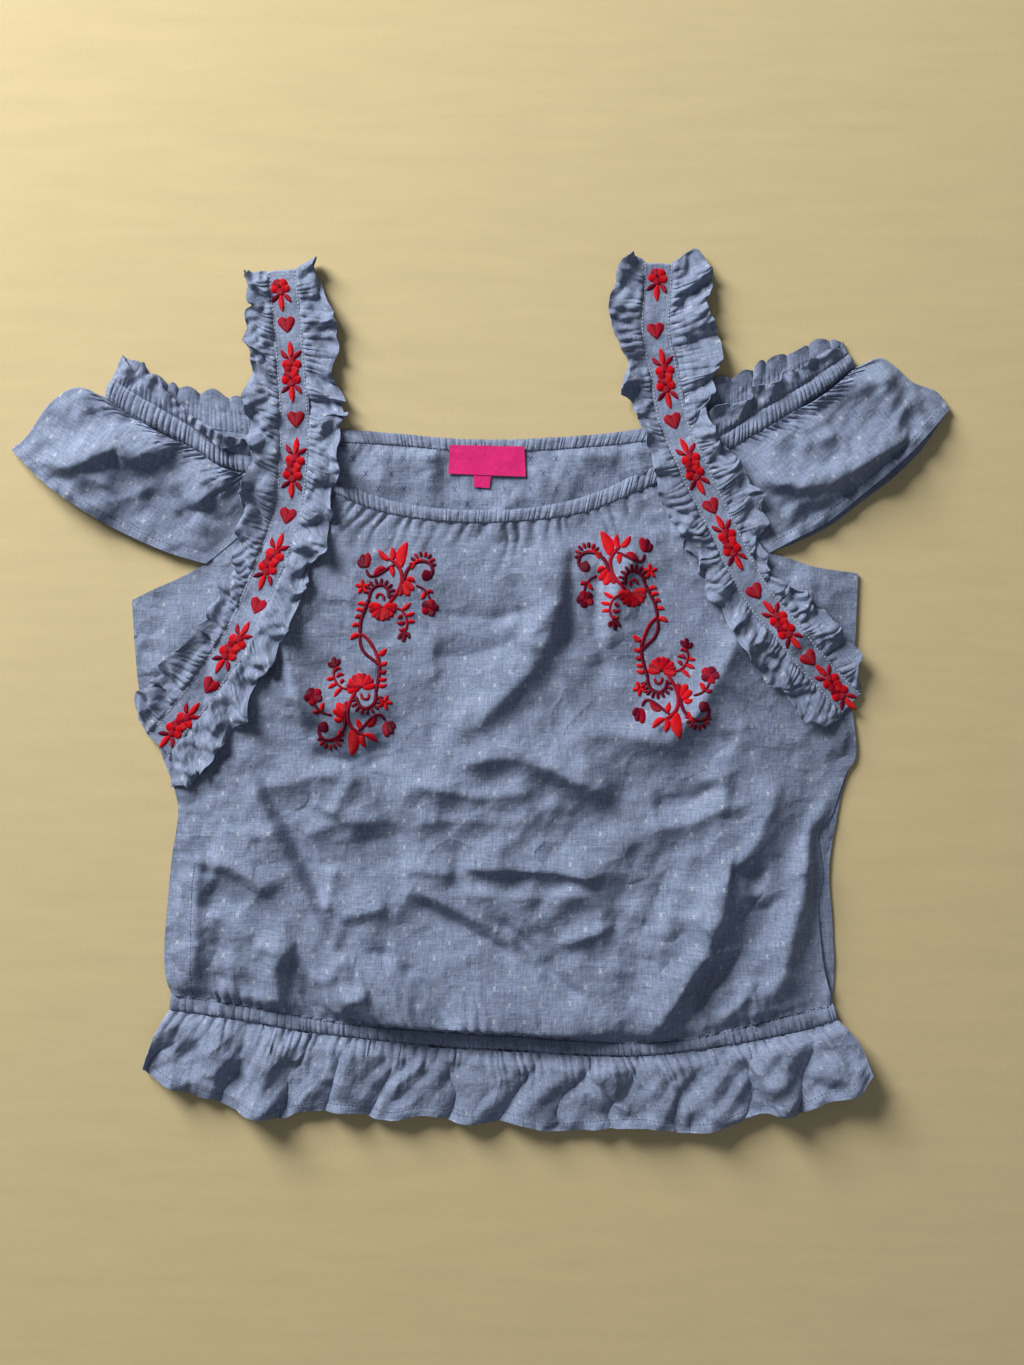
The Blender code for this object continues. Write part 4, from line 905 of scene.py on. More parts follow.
def back_panel(sizes):
    """The back, with its folds where it shows inside the neck. It is pressed flat under the label."""
    left = [(BACK_SEAM_LEFT, 30), (ARMHOLE_LEFT, 10), (SIDE_LEFT, 50)]
    right = [(BACK_SEAM_RIGHT, 30), (ARMHOLE_RIGHT, 10), (SIDE_RIGHT_BACK, 50)]
    flat = patch(NECK_BACK_LOW, WAIST_TOP, left, right, 130)
    share = np.linspace(0, 1, flat.shape[1])[None, :]
    low = edge_distance(flat, NECK_BACK_LOW)
    right_edge = ease(1 - edge_distance(flat, SIDE_RIGHT_BACK) / 26)
    beside_label = np.maximum(np.abs(flat[..., 0] - LABEL_MIDDLE) - LABEL_HALF, LABEL_LOW - flat[..., 1])
    loose = 0.2 + 0.8 * ease(beside_label / 10)
    height = BACK_MIDDLE + seam_gathers(share, low, count=48, height=1.0, length=11, seed=11)
    height += loose * np.maximum(fold_sum(flat, BACK_FOLDS)[0] + 0.8, 0) * ease(low / 5) * ease(1 - low / 62)
    height += right_edge * (0.9 + 1.1 * crumple(flat, 15, 5))
    height += 1.2 * (crumple(flat, 15, 8) + 0.5) * ease(1 - low / 70)
    height += 0.9 * loose * np.maximum(creases(flat, 17, 9), 0) * ease(1 - low / 60)
    return shell("back_cloth", raised(flat, height), sizes.cloth, finishes["chambray_inside"],
                 "back_panel", uv=flat * MM)


def front_panel(sizes):
    """The front, with its table of folds, its gathers and its pressed-in creases."""
    left = [(FRONT_SEAM_LEFT, 26), (ARMHOLE_LEFT, 14), (SIDE_LEFT, 150)]
    right = [(FRONT_SEAM_RIGHT, 26), (ARMHOLE_RIGHT, 14), (SIDE_RIGHT_FRONT, 150)]
    flat = patch(NECK_FRONT_LOW, WAIST_TOP, left, right, 226)
    edges = [NECK_FRONT_LOW] + [stretch[0] for stretch in left + right]
    inward = np.min([edge_distance(flat, edge) for edge in edges], axis=0)
    from_neck = edge_distance(flat, NECK_FRONT_LOW)
    from_waist = edge_distance(flat, WAIST_TOP)
    share = np.linspace(0, 1, flat.shape[1])[None, :]
    folds, shift = fold_sum(flat, FRONT_FOLDS)
    close = ease(inward / 11) * ease(from_waist / 6)
    lower = ease((20 - flat[..., 1]) / 120)
    height = 4.2 * ease(np.minimum(inward, from_waist) / 40) + folds * close
    rough = sizes.crumple * close
    height += rough * (0.8 + 0.5 * lower) * crumple(flat, 46, 21, (1.35, 0.8))
    height += rough * (1.0 + 1.6 * lower) * creases(flat, 42, 51)
    height += rough * (0.6 + 1.0 * lower) * creases(flat, 18, 61)
    height += rough * (0.3 + 0.5 * lower) * crumple(flat, 10, 41)
    height += seam_gathers(share, from_neck, count=30, height=2.1, length=17, seed=3)
    height += seam_gathers(share, from_waist, count=58, height=2.9, length=19, seed=4)
    height += 2.6 * ease(from_waist / 8) * ease(1 - from_waist / 60)
    flat_moved = flat + shift * close[..., None]
    height = FRONT_MIDDLE + np.maximum(height, 0)
    return shell("front_cloth", raised(flat_moved, height), sizes.cloth, finishes["chambray"],
                 "front_panel", uv=flat * MM)


def casing(name, replaced, low, high, sizes, ribs, middle_height, crown, rib, seed, rows=8):
    """Cloth gathered over an elastic: uneven ribs with narrow grooves between them."""
    flat = strip(low, high, ribs * 7, rows)
    share = np.linspace(0, 1, flat.shape[1])[None, :]
    up = np.linspace(0, 1, rows + 1)[:, None]
    bend = 0.08 * soft_noise(np.dstack(np.broadcast_arrays(share * 60, up * 2.0)), 1.0, seed + 9) / ribs
    phase = uneven(np.clip(share + bend, 0, 1), ribs, seed, 0.7)
    wave = humps(phase, 0.5) * varied(phase, ribs, 0.25, 1.2, np.random.default_rng(seed + 5))
    across = humps(up, 0.5)
    height = middle_height + crown * across + rib * sizes.rib * wave * (0.75 + 0.25 * across)
    away = unit(flat[-1] - flat[0])
    flat = flat + away[None] * ((2 * up - 1) * 0.35 * (wave - 0.5))[..., None]
    uv = np.stack([np.broadcast_to(share * 1.7 * reach_of(low) * MM, height.shape),
                   np.broadcast_to(up * CASING_WIDTH, height.shape)], axis=-1)
    return shell(name, raised(flat, height), sizes.cloth, finishes["chambray_casing"],
                 replaced, uv=uv)


def reach_of(route):
    """The length of a soft route in millimetres."""
    return np.linalg.norm(np.diff(smooth_route(route), axis=0), axis=1).sum()


def flutes(x):
    """0 in the troughs and 1 on the crests of the peplum's waves."""
    phase = np.interp(x, PEPLUM_CRESTS, np.arange(len(PEPLUM_CRESTS)))
    return np.abs(np.cos(math.pi * phase)) ** 0.85 * np.interp(x, PEPLUM_CRESTS, PEPLUM_HEIGHTS)


def peplum_back(sizes):
    """The flat back of the peplum, under the front."""
    flat = patch(WAIST_LOW, HEM, [(PEPLUM_LEFT, 22)], [(PEPLUM_RIGHT, 22)], 130)
    height = BACK_MIDDLE + 0.25 * crumple(flat, 14, 77) + hem_band(edge_distance(flat, HEM), rise=0.25)
    piece = shell("peplum_back_cloth", raised(flat, height), sizes.cloth, finishes["chambray_inside"],
                  "peplum_back", uv=flat * MM)


def peplum_front(sizes):
    """The gathered front of the peplum: flutes that start at the waist and grow towards the hem."""
    rows, across = 34, 420
    flat = patch(WAIST_LOW, HEM, [(PEPLUM_LEFT, rows)], [(PEPLUM_RIGHT, rows)], across)
    fall = np.linspace(0, 1, rows + 1)[:, None]
    share = np.linspace(0, 1, across + 1)[None, :]
    leaned = flat[..., 0] + 11 * soft_noise(flat, 26, 61) + 20 * fall
    wave = flutes(leaned) * (0.72 + 0.28 * soft_noise(flat, 40, 65))
    height = FRONT_MIDDLE + 4.6 * ease(fall / 0.2) * (1 - 0.85 * fall) + (1.0 + 10.5 * fall**0.8) * wave
    folds, shift = fold_sum(flat, PEPLUM_FOLDS)
    from_waist = edge_distance(flat, WAIST_LOW)
    height += folds + seam_gathers(share, from_waist, count=80, height=2.5, length=14, seed=62)
    height += 4.2 * creases(flat, 26, 63) * fall + 1.9 * creases(flat, 12, 64) + 0.8 * fall
    height += hem_band(edge_distance(flat, HEM))
    height = np.maximum(height, FRONT_MIDDLE - 0.2)
    shift[..., 0] += -20 * np.gradient(wave, axis=1) * fall
    uv = np.stack([np.broadcast_to(share * 0.66, height.shape),
                   np.broadcast_to(-fall * 0.055, height.shape)], axis=-1)
    piece = shell("peplum_front_cloth", raised(flat + shift, height), sizes.cloth, finishes["chambray"],
                  "peplum_front", uv=uv)


def sleeve_grain(flat, degrees):
    """A sleeve's own UV: metres along and across its weave."""
    angle = math.radians(degrees)
    turn = np.array([[math.cos(angle), math.sin(angle)], [-math.sin(angle), math.cos(angle)]])
    return flat @ turn.T * MM


def sleeve(cut, sizes):
    """The sleeve as a tube, which goes round the outer fold from front to back."""
    name = f"sleeve_{cut.side}"
    rows, across = 46, 84
    fold = [(cut.fold, rows)]
    front = patch(cut.top[:-1] + cut.fold[:1], cut.hem, [(cut.seam, rows)], fold, across)
    back = patch(cut.back_top[:-1] + cut.fold[:1], cut.back_hem, [(cut.back_seam, rows)], fold, across)
    share = np.linspace(0, 1, across + 1)[None, :]
    puff = ease(edge_distance(front, cut.seam) / 18) * ease(edge_distance(front, cut.fold) / 9)
    from_top = edge_distance(front, cut.top)
    from_hem = edge_distance(front, cut.hem)
    folds, shift = fold_sum(front, SLEEVE_FOLDS)
    height = FRONT_MIDDLE + 0.4 + 2.4 * puff * ease(from_top / 14) + folds * puff
    height += 0.8 * crumple(front, 27, cut.seed) * puff + 1.0 * creases(front, 32, cut.seed) * puff
    height += 1.3 * creases(front, 13, cut.seed + 7) * puff + 0.6 * creases(front, 7, cut.seed + 8) * puff
    height += seam_gathers(share, from_top, count=36, height=2.4, length=15, seed=cut.seed + 3)
    height += 4.6 * ease(1 - np.abs(share - 0.7) / 0.34) * ease(1 - from_hem / 30)
    height += hem_band(from_hem, rise=0.8)
    height = np.maximum(height, FRONT_MIDDLE)
    under = BACK_MIDDLE + 0.5 * (crumple(back, 17, cut.seed + 9) + 0.5)
    middle = turn_under(raised(front + shift * puff[..., None], height), raised(back, under))
    grain = sleeve_grain(middle[..., :2], cut.grain)
    piece = shell(f"{name}_cloth", middle, sizes.cloth, finishes["chambray"], name, uv=grain)


def sleeve_casing(cut, sizes):
    """The ribbed casing along the sleeve's upper edge, all round."""
    name = f"sleeve_{cut.side}_casing"
    band = strip(cut.top, cut.band, SLEEVE_COLUMNS, 7)
    band_back = strip(cut.back_top, cut.band_back, SLEEVE_COLUMNS, 7)
    share = np.linspace(0, 1, SLEEVE_COLUMNS + 1)[None, :]
    up = np.linspace(0, 1, 8)[:, None]
    wave = humps(uneven(share, SLEEVE_RIBS, cut.seed + 20, 0.5), 0.6)
    crown = humps(up, 0.6)
    rib = sizes.rib * wave * (0.3 + 0.5 * crown) * (1.0 + 0.5 * soft_noise(band, 7, cut.seed + 21))
    high = SLEEVE_BAND_TOP + 1.9 * crown + rib
    low = 0.7 + 0.25 * crown + 0.5 * wave
    middle = turn_under(raised(band, high), raised(band_back, low))
    piece = shell(f"{name}_cloth", middle, sizes.cloth, finishes["chambray_casing"], name)


def sleeve_frill(cut, sizes):
    """The gathered heading above the casing. The rim's table places its free edge and curls it."""
    name = f"sleeve_{cut.side}_frill"
    share = np.linspace(0, 1, SLEEVE_COLUMNS + 1)[None, :]
    up = np.linspace(0, 1, 15)[:, None]
    wave = humps(uneven(share, 9, cut.seed + 30, 0.55), 0.8)
    small = humps(uneven(share, SLEEVE_RIBS, cut.seed + 20, 0.5), 0.7)

    frill = strip(cut.band, cut.frill, SLEEVE_COLUMNS, 14)
    free = along(cut.rim, np.linspace(0, 1, SLEEVE_COLUMNS + 1))
    away = unit(frill[-1] - frill[0])
    roll = 4 * up * (1 - up) * free[:, 3]
    frill = frill[:1] + (free[:, :2] - frill[0])[None] * up[..., None] + roll[..., None] * away[None]
    high = SLEEVE_BAND_TOP + (free[:, 2] - SLEEVE_BAND_TOP) * up**0.8
    high = high + 0.5 * roll + 1.7 * small * (1 - up) ** 5 * ease(up * 9)
    crisp = 3.0 * creases(frill, 10, cut.seed + 33) + 1.5 * creases(frill, 5.5, cut.seed + 34)
    high = np.maximum(high + crisp * up**0.5, SLEEVE_BAND_TOP)

    frill_back = strip(cut.band_back, cut.frill_back, SLEEVE_COLUMNS, 14)
    low = 0.6 + 2.4 * up * wave + 0.6 * small * (1 - up) ** 3
    low += 2.2 * up * np.maximum(creases(frill_back, 10, cut.seed), 0)
    away = unit(frill_back[-1] - frill_back[0])
    scallop = up * (3.0 * (wave - 0.7) + 1.6 * soft_noise(frill_back, 8, cut.seed + 35))
    scallop = scallop * ease((1 - share) * 9)
    frill_back = frill_back + scallop[..., None] * away[None]
    middle = turn_under(raised(frill, high), raised(frill_back, low))
    piece = shell(f"{name}_cloth", middle, sizes.cloth, finishes["chambray"], name)


def strap_lines(cut, count):
    """The tape's middle line, its way and the way out to the arm, from the shoulder fold down."""
    middle = along(cut.centre, np.linspace(0, 1, count))
    way = unit(np.gradient(middle, axis=0))
    outwards = np.stack([way[:, 1], -way[:, 0]], axis=1)
    return middle, way, -outwards if cut.side == "right" else outwards


def strap_rest(first, second, on, end_y):
    """The height that carries a strip of a strap, found coarsely and spread over its fine grid."""
    count = first.shape[0]
    spots = np.linspace(0, count - 1, 110).astype(int)
    share = np.linspace(0, 1, 4)[:, None, None]
    coarse = (1 - share) * first[spots][None] + share * second[spots][None]
    rest = np.maximum(carried(coarse, on, 4.5), np.where(coarse[..., 1] > end_y - 7, 1.8, 0))
    for _ in range(4):
        padded = np.concatenate([rest[:, :1], rest, rest[:, -1:]], axis=1)
        rest = np.maximum(rest, (padded[:, :-2] + padded[:, 1:-1] + padded[:, 2:]) / 3)
    return np.stack([np.interp(np.arange(count), spots, row) for row in rest])


def spread(rows, wanted):
    """Rows of values interpolated to a wanted number of rows."""
    given = np.linspace(0, 1, len(rows))
    fine = np.linspace(0, 1, wanted)
    return np.stack([np.interp(fine, given, rows[:, column]) for column in range(rows.shape[1])], axis=1)


def strap(cut, sizes):
    """A tape with a gathered ruffle on each side, all three folded over at the shoulder."""
    on = ["front_cloth", "neck_front", "neck_back", "back_cloth"]
    on += [f"sleeve_{cut.side}_cloth", f"sleeve_{cut.side}_casing_cloth", f"sleeve_{cut.side}_frill_cloth"]
    middle, way, outwards = strap_lines(cut, cut.waves * 37 + 1)
    half = sizes.tape / 2
    outer, inner = middle + outwards * half, middle - outwards * half
    strap_tape(cut, sizes, outer, inner, on)
    strap_ruffle(cut, sizes, "outer", outer, cut.outer, way, outwards, on)
    strap_ruffle(cut, sizes, "inner", inner, cut.inner, way, -outwards, on)


def strap_tape(cut, sizes, outer, inner, on):
    """The tape between its two edges, and its short stretch under the shoulder fold."""
    name = f"strap_{cut.side}_tape"
    rest = spread(strap_rest(outer, inner, on, cut.back_end), 10)
    out = np.linspace(0, 1, 10)[:, None]
    flat = (1 - out[..., None]) * outer[None] + out[..., None] * inner[None]
    height = rest + 1.5 + 0.25 * np.sin(math.pi * out) + 0.45 * crumple(flat, 13, 300 + cut.waves)
    flat, height = flat[:, ::-2], height[:, ::-2]
    keep = flat[..., 1].min(axis=0) > cut.back_end
    back = raised(flat[:, keep], BACK_MIDDLE + 0.15 * crumple(flat[:, keep], 12, 9))
    tape = shell(f"{name}_cloth", turn_under(raised(flat, height), back), sizes.cloth,
                 finishes["strap_tape"], name)


def strap_ruffle(cut, sizes, which, edge, rim, way, away, on):
    """One ruffle: it is sewn on under the tape's edge, and its lobes lean, curl and scallop unevenly."""
    name = f"strap_{cut.side}_ruffle_{which}"
    seed = 400 + cut.waves * 3 + (0 if which == "outer" else 50)
    rows = 17
    reach = np.linspace(0, 1, len(edge))[None, :]
    free = along(rim, reach[0])
    root = edge - away * 1.6
    rest = spread(strap_rest(edge, free, on, cut.ruffle_end), rows)
    out = np.linspace(0, 1, rows)[:, None]
    rng = np.random.default_rng(seed)
    wander = soft_noise(np.dstack(np.broadcast_arrays(reach * cut.waves, out * 1.6)), 1.0, seed + 1)
    lean = 0.55 * wander * out + 0.35 * out
    lobes = uneven(np.clip(reach + lean / cut.waves, 0, 1), cut.waves, seed, 0.5)
    tall = varied(lobes, cut.waves, 0.55, 1.25, rng)
    slant = varied(lobes, cut.waves, -4.0, 6.0, rng)
    curl = varied(lobes, cut.waves, 1.0, 3.6, rng)
    wave = humps(lobes, 0.8)
    fine = uneven(np.clip(reach + 0.006 * wander * out, 0, 1), cut.waves * 6, seed + 7, 0.6)
    small = humps(fine, 0.7) * varied(fine, cut.waves * 6, 0.3, 1.3, rng)
    base = (1 - out[..., None]) * root[None] + out[..., None] * free[None]
    rise = sizes.ruffle * tall * wave * out**0.6 + 2.2 * small * (1 - out) ** 1.6 * ease(out * 7)
    rise = rise + 3.4 * creases(base, 13, seed + 3) * out**0.4
    rise = rise + 1.7 * creases(base, 6.5, seed + 4) * out**0.3
    flare = ease(1 - reach / 0.06) * out
    moved = curl * out * np.sin(2 * math.pi * lobes) + slant * out * wave + 0.3 * rise - 5.5 * flare
    scallop = out * (3.2 * (wave - 0.6) + 1.4 * soft_noise(base, 7, seed + 5)) - 2.5 * flare
    flat = base + way[None] * moved[..., None] + away[None] * scallop[..., None]
    height = rest + 0.5 + np.maximum(rise, 0)
    flat, height, base, wave = flat[:, ::-1], height[:, ::-1], base[:, ::-1], wave[:, ::-1]
    keep = np.flatnonzero(base[..., 1].min(axis=0) > cut.ruffle_end)[::2]
    behind = base[:, keep]
    behind = behind[:1] + (behind - behind[:1]) * 0.85
    middle = turn_under(raised(flat, height), raised(behind, 0.6 + 0.9 * wave[:, keep] * out))
    ruffle = shell(f"{name}_cloth", middle, sizes.cloth, finishes["chambray"], name)


def label(name, corners, node, lift):
    """A bare label that lies on the back inside the neck."""
    top_left, top_right, low_right, low_left = (np.array(corner, float) for corner in corners)
    u = np.linspace(0, 1, 41)[None, :, None]
    v = np.linspace(0, 1, 21)[:, None, None]
    flat = (1 - v) * ((1 - u) * top_left + u * top_right) + v * ((1 - u) * low_left + u * low_right)
    rest = carried(flat[::10, ::10], ["back_cloth", "neck_back"], 2.0)
    rest = spread(np.stack([np.interp(np.arange(41), np.arange(0, 41, 10), row) for row in rest]), 21)
    height = rest.mean() * 0.5 + rest * 0.5 + lift + 0.5 * crumple(flat, 14, 800)
    piece = shell(name, raised(flat, height), LABEL_CLOTH, finishes["label"], node)


# How the half width runs along each kind of stroke, and the ring of points round its padded stitches.
PROFILES = {
    "leaf": lambda u: np.sin(math.pi * np.clip(u, 0, 1) ** 0.85) ** 0.8,
    "stem": lambda u: np.clip(np.minimum(u, 1 - u) * 14, 0, 1) ** 0.5,
    "petal": lambda u: np.sqrt(np.clip(1 - (2 * u - 1) ** 2, 0, 1)),
    "drop": lambda u: np.sin(math.pi * np.clip(u, 0, 1) ** 0.55) ** 0.9,
}
RING_ACROSS = np.array([-1.0, -0.72, -0.25, 0.25, 0.72, 1.0, 0.8, -0.8])
RING_LIFT = np.array([0.05, 0.62, 0.97, 0.97, 0.62, 0.05, -0.6, -0.6])


def stroke_rings(stroke, crown):
    """The rings of points round one satin-stitched stroke, flat, with their lift and their UV."""
    route = smooth_route(stroke.route, 6)
    length = np.linalg.norm(np.diff(route, axis=0), axis=1).sum()
    count = max(8, int(length / (1.1 if stroke.kind == "stem" else 1.4)))
    u = np.linspace(0, 1, count + 1)
    reached = reached_of(route)
    centre = np.stack([np.interp(u, reached, route[:, axis]) for axis in (0, 1)], axis=1)
    way = np.gradient(centre, axis=0)
    way /= np.maximum(np.linalg.norm(way, axis=1, keepdims=True), 1e-9)
    off = np.stack([-way[:, 1], way[:, 0]], axis=1)
    half = np.maximum(stroke.half * PROFILES[stroke.kind](u), 0.06)
    flat = centre[:, None] + off[:, None] * (half[:, None] * RING_ACROSS[None])[..., None]
    lift = crown * np.minimum(half / 0.9, 1.0)[:, None] * RING_LIFT[None]
    uv = np.stack(np.broadcast_arrays((u * length)[:, None], half[:, None] * RING_ACROSS[None]), axis=-1)
    return flat, lift, uv * MM


def turned(points, angle, centre, mirror):
    """Points of a motif mirrored, turned and moved to its centre."""
    x, y = points[..., 0] * mirror, points[..., 1]
    cosine, sine = math.cos(angle), math.sin(angle)
    return np.stack([centre[0] + x * cosine - y * sine, centre[1] + x * sine + y * cosine], axis=-1)


def embroider(name, placed, carrier, crown):
    """Joins placed strokes into one embroidered piece that lies on its cloth.

    placed holds strokes with the angle, centre and mirror that they are set at.
    """
    threads = ["scarlet", "crimson", "maroon"]
    points, faces, uvs, kinds = [], [], [], []
    base = 0
    for layer, (stroke, angle, centre, mirror) in enumerate(placed):
        flat, lift, uv = stroke_rings(stroke, crown)
        flat = turned(flat, angle, centre, mirror)
        laid = dropped(flat, carrier, lift.ravel() + 0.02 * (layer % 5), 3.0)
        rings, around = lift.shape
        index = base + np.arange(rings * around).reshape(rings, around)
        after = np.roll(index, -1, axis=1)
        quads = np.stack([index[:-1], after[:-1], after[1:], index[1:]], axis=-1).reshape(-1, 4).tolist()
        caps = [index[0, ::-1].tolist(), index[-1].tolist()]
        new_faces = quads + caps
        if mirror > 0:
            new_faces = [face[::-1] for face in new_faces]
        points.append(laid)
        uvs.append(uv.reshape(-1, 2) + 0.013 * layer)
        faces += new_faces
        kinds += [threads.index(stroke.thread)] * len(new_faces)
        base += rings * around
    piece = new_piece(name, np.concatenate(points), faces, {"cloth": np.concatenate(uvs)},
                      finishes["thread_scarlet"])
    piece.data.materials.append(finishes["thread_crimson"])
    piece.data.materials.append(finishes["thread_maroon"])
    piece.data.polygons.foreach_set("material_index", kinds)
    return piece


def fan(cut):
    """Petals or beads set round a point, in two threads by turns."""
    strokes = []
    for place in range(cut.count):
        angle = math.radians(cut.start + (cut.end - cut.start) * place / max(cut.count - 1, 1))
        ways = np.array([math.cos(angle), math.sin(angle)])
        reaches = (cut.inner, (cut.inner + cut.outer) / 2, cut.outer)
        route = [tuple(np.array([cut.x, cut.y]) + ways * radius) for radius in reaches]
        strokes.append(Stroke(cut.second if place % 2 else cut.first, "petal", cut.half, route))
    return strokes


def sprig_strokes(flowers):
    """Five petals and a heart for each flower, given by its centre and the angle of its first petal."""
    strokes = []
    for (x, y), start in flowers:
        for place in range(5):
            angle = start + place * 2 * math.pi / 5
            ways = np.array([math.cos(angle), math.sin(angle) * 0.85])
            route = [tuple(np.array([x, y]) + ways * radius) for radius in (0.4, 3.2, 6.5)]
            strokes.append(Stroke("crimson" if place % 2 else "scarlet", "petal", 3.0, route))
        strokes.append(Stroke("maroon", "petal", 1.5, [(x - 1.3, y), (x, y), (x + 1.3, y)]))
    return strokes


def strap_angle(cut, spot):
    """The turn that sets a motif's upward direction along the strap towards the shoulder."""
    middle, way = strap_lines(cut, 200)[:2]
    place = np.linalg.norm(middle - np.array(spot), axis=1).argmin()
    return math.atan2(-way[place][1], -way[place][0]) - math.pi / 2


def routes_mesh(name, routes):
    """A mesh of bare edges along routes in millimetres, for the stitches to follow."""
    points, edges, base = [], [], 0
    for route in routes:
        points += (np.array(route) * MM).tolist()
        edges += [(base + place, base + place + 1) for place in range(len(route) - 1)]
        base += len(route)
    mesh = bpy.data.meshes.new(name)
    mesh.from_pydata(points, edges, [])
    return mesh


def stitch_tree():
    """Geometry nodes that set a short thread at every step along a route."""
    tree = bpy.data.node_groups.new("run_of_stitches", "GeometryNodeTree")
    face = tree.interface
    face.new_socket(name="Geometry", in_out="INPUT", socket_type="NodeSocketGeometry")
    for title, value in (("Pitch", 0.0026), ("Length", 0.0019), ("Thickness", 0.0005)):
        socket = face.new_socket(name=title, in_out="INPUT", socket_type="NodeSocketFloat")
        socket.default_value = value
    seed = face.new_socket(name="Seed", in_out="INPUT", socket_type="NodeSocketInt")
    seed.default_value = 7
    face.new_socket(name="Thread", in_out="INPUT", socket_type="NodeSocketMaterial")
    face.new_socket(name="Geometry", in_out="OUTPUT", socket_type="NodeSocketGeometry")
    desk = NodeDesk(tree)
    given = desk.add("NodeGroupInput").outputs
    curve = desk.add("GeometryNodeMeshToCurve", {"Mesh": given["Geometry"]})
    steps = desk.add("GeometryNodeResampleCurve", {"Curve": curve.outputs[0], "Length": given["Pitch"]},
                     mode="LENGTH")
    thread = desk.add("GeometryNodeMeshUVSphere", {"Segments": 6, "Rings": 4, "Radius": 0.5})
    tangent = desk.add("GeometryNodeInputTangent")
    turn = desk.add("FunctionNodeAlignRotationToVector", {"Vector": tangent.outputs[0]}, axis="X")
    flatter = desk.add("ShaderNodeMath", [given["Thickness"], 0.7], operation="MULTIPLY")
    size = desk.add("ShaderNodeCombineXYZ", [given["Length"], given["Thickness"], flatter.outputs[0]])
    luck = desk.add("FunctionNodeRandomValue", {"Min": 0.82, "Max": 1.1, "Seed": given["Seed"]},
                    data_type="FLOAT")
    luck_out = next(socket for socket in luck.outputs if socket.enabled)
    varied = desk.add("ShaderNodeVectorMath", {0: size.outputs[0], "Scale": luck_out}, operation="SCALE")
    set_out = desk.add("GeometryNodeInstanceOnPoints", {"Points": steps.outputs[0],
                                                        "Instance": thread.outputs[0],
                                                        "Rotation": turn.outputs[0],
                                                        "Scale": varied.outputs[0]})
    real = desk.add("GeometryNodeRealizeInstances", {"Geometry": set_out.outputs[0]})
    done = desk.add("GeometryNodeSetMaterial", {"Geometry": real.outputs[0], "Material": given["Thread"]})
    desk.add("NodeGroupOutput", [done.outputs[0]])
    return tree


def sewn(name, routes, finish, pitch, length, thickness, seed):
    """A plain mesh of the stitches along some routes."""
    tree = bpy.data.node_groups.get("run_of_stitches") or stitch_tree()
    guide = bpy.data.objects.new(name + "_guide", routes_mesh(name + "_guide", routes))
    bpy.context.scene.collection.objects.link(guide)
    modifier = guide.modifiers.new("stitches", "NODES")
    modifier.node_group = tree
    values = {"Pitch": pitch * MM, "Length": length * MM, "Thickness": thickness * MM, "Seed": seed,
              "Thread": finish}
    for item in tree.interface.items_tree:
        if item.in_out == "INPUT" and item.name in values:
            modifier[item.identifier] = values[item.name]
    bpy.context.view_layer.update()
    graph = bpy.context.evaluated_depsgraph_get()
    mesh = bpy.data.meshes.new_from_object(guide.evaluated_get(graph))
    mesh.name = name
    bpy.data.objects.remove(guide)
    mesh.shade_smooth()
    piece = bpy.data.objects.new(name, mesh)
    bpy.context.scene.collection.objects.link(piece)
    if not mesh.materials:
        mesh.materials.append(finish)
    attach(piece, ROOT)
    return piece


def offset_route(route, count, inwards):
    """A soft route moved sideways to its left by some millimetres."""
    line = along(route, np.linspace(0, 1, count))
    way = unit(np.gradient(line, axis=0))
    return line + np.stack([-way[:, 1], way[:, 0]], axis=1) * inwards


def add_light(name, place, size, power, colour):
    """A square light that points at the middle of the blouse."""
    lamp = bpy.data.lights.new(name, "AREA")
    lamp.shape = "SQUARE"
    lamp.size = size
    lamp.energy = power
    lamp.color = colour
    light = bpy.data.objects.new(name, lamp)
    light.location = place
    light.rotation_euler = (-Vector(place)).to_track_quat("-Z", "Y").to_euler()
    bpy.context.scene.collection.objects.link(light)


class BlouseCloth(bpy.types.PropertyGroup):
    cloth: bpy.props.FloatProperty(name="Cloth", description="Thickness of the cloth shown, in mm",
                                   default=0.6, min=0.3, max=1.2)
    crumple: bpy.props.FloatProperty(name="Crumple", description="How strongly the front is creased",
                                     default=1.0, min=0.0, max=2.0, subtype="FACTOR")
    rib: bpy.props.FloatProperty(name="Rib height", description="Height of the ribs on the casings, in mm",
                                 default=1.35, min=0.2, max=2.5)
    ruffle: bpy.props.FloatProperty(name="Ruffle height", description="Height of the strap ruffles, in mm",
                                    default=6.0, min=1.0, max=8.0)
    tape: bpy.props.FloatProperty(name="Tape width", description="Width of the strap tape, in mm",
                                  default=19.0, min=12.0, max=30.0)


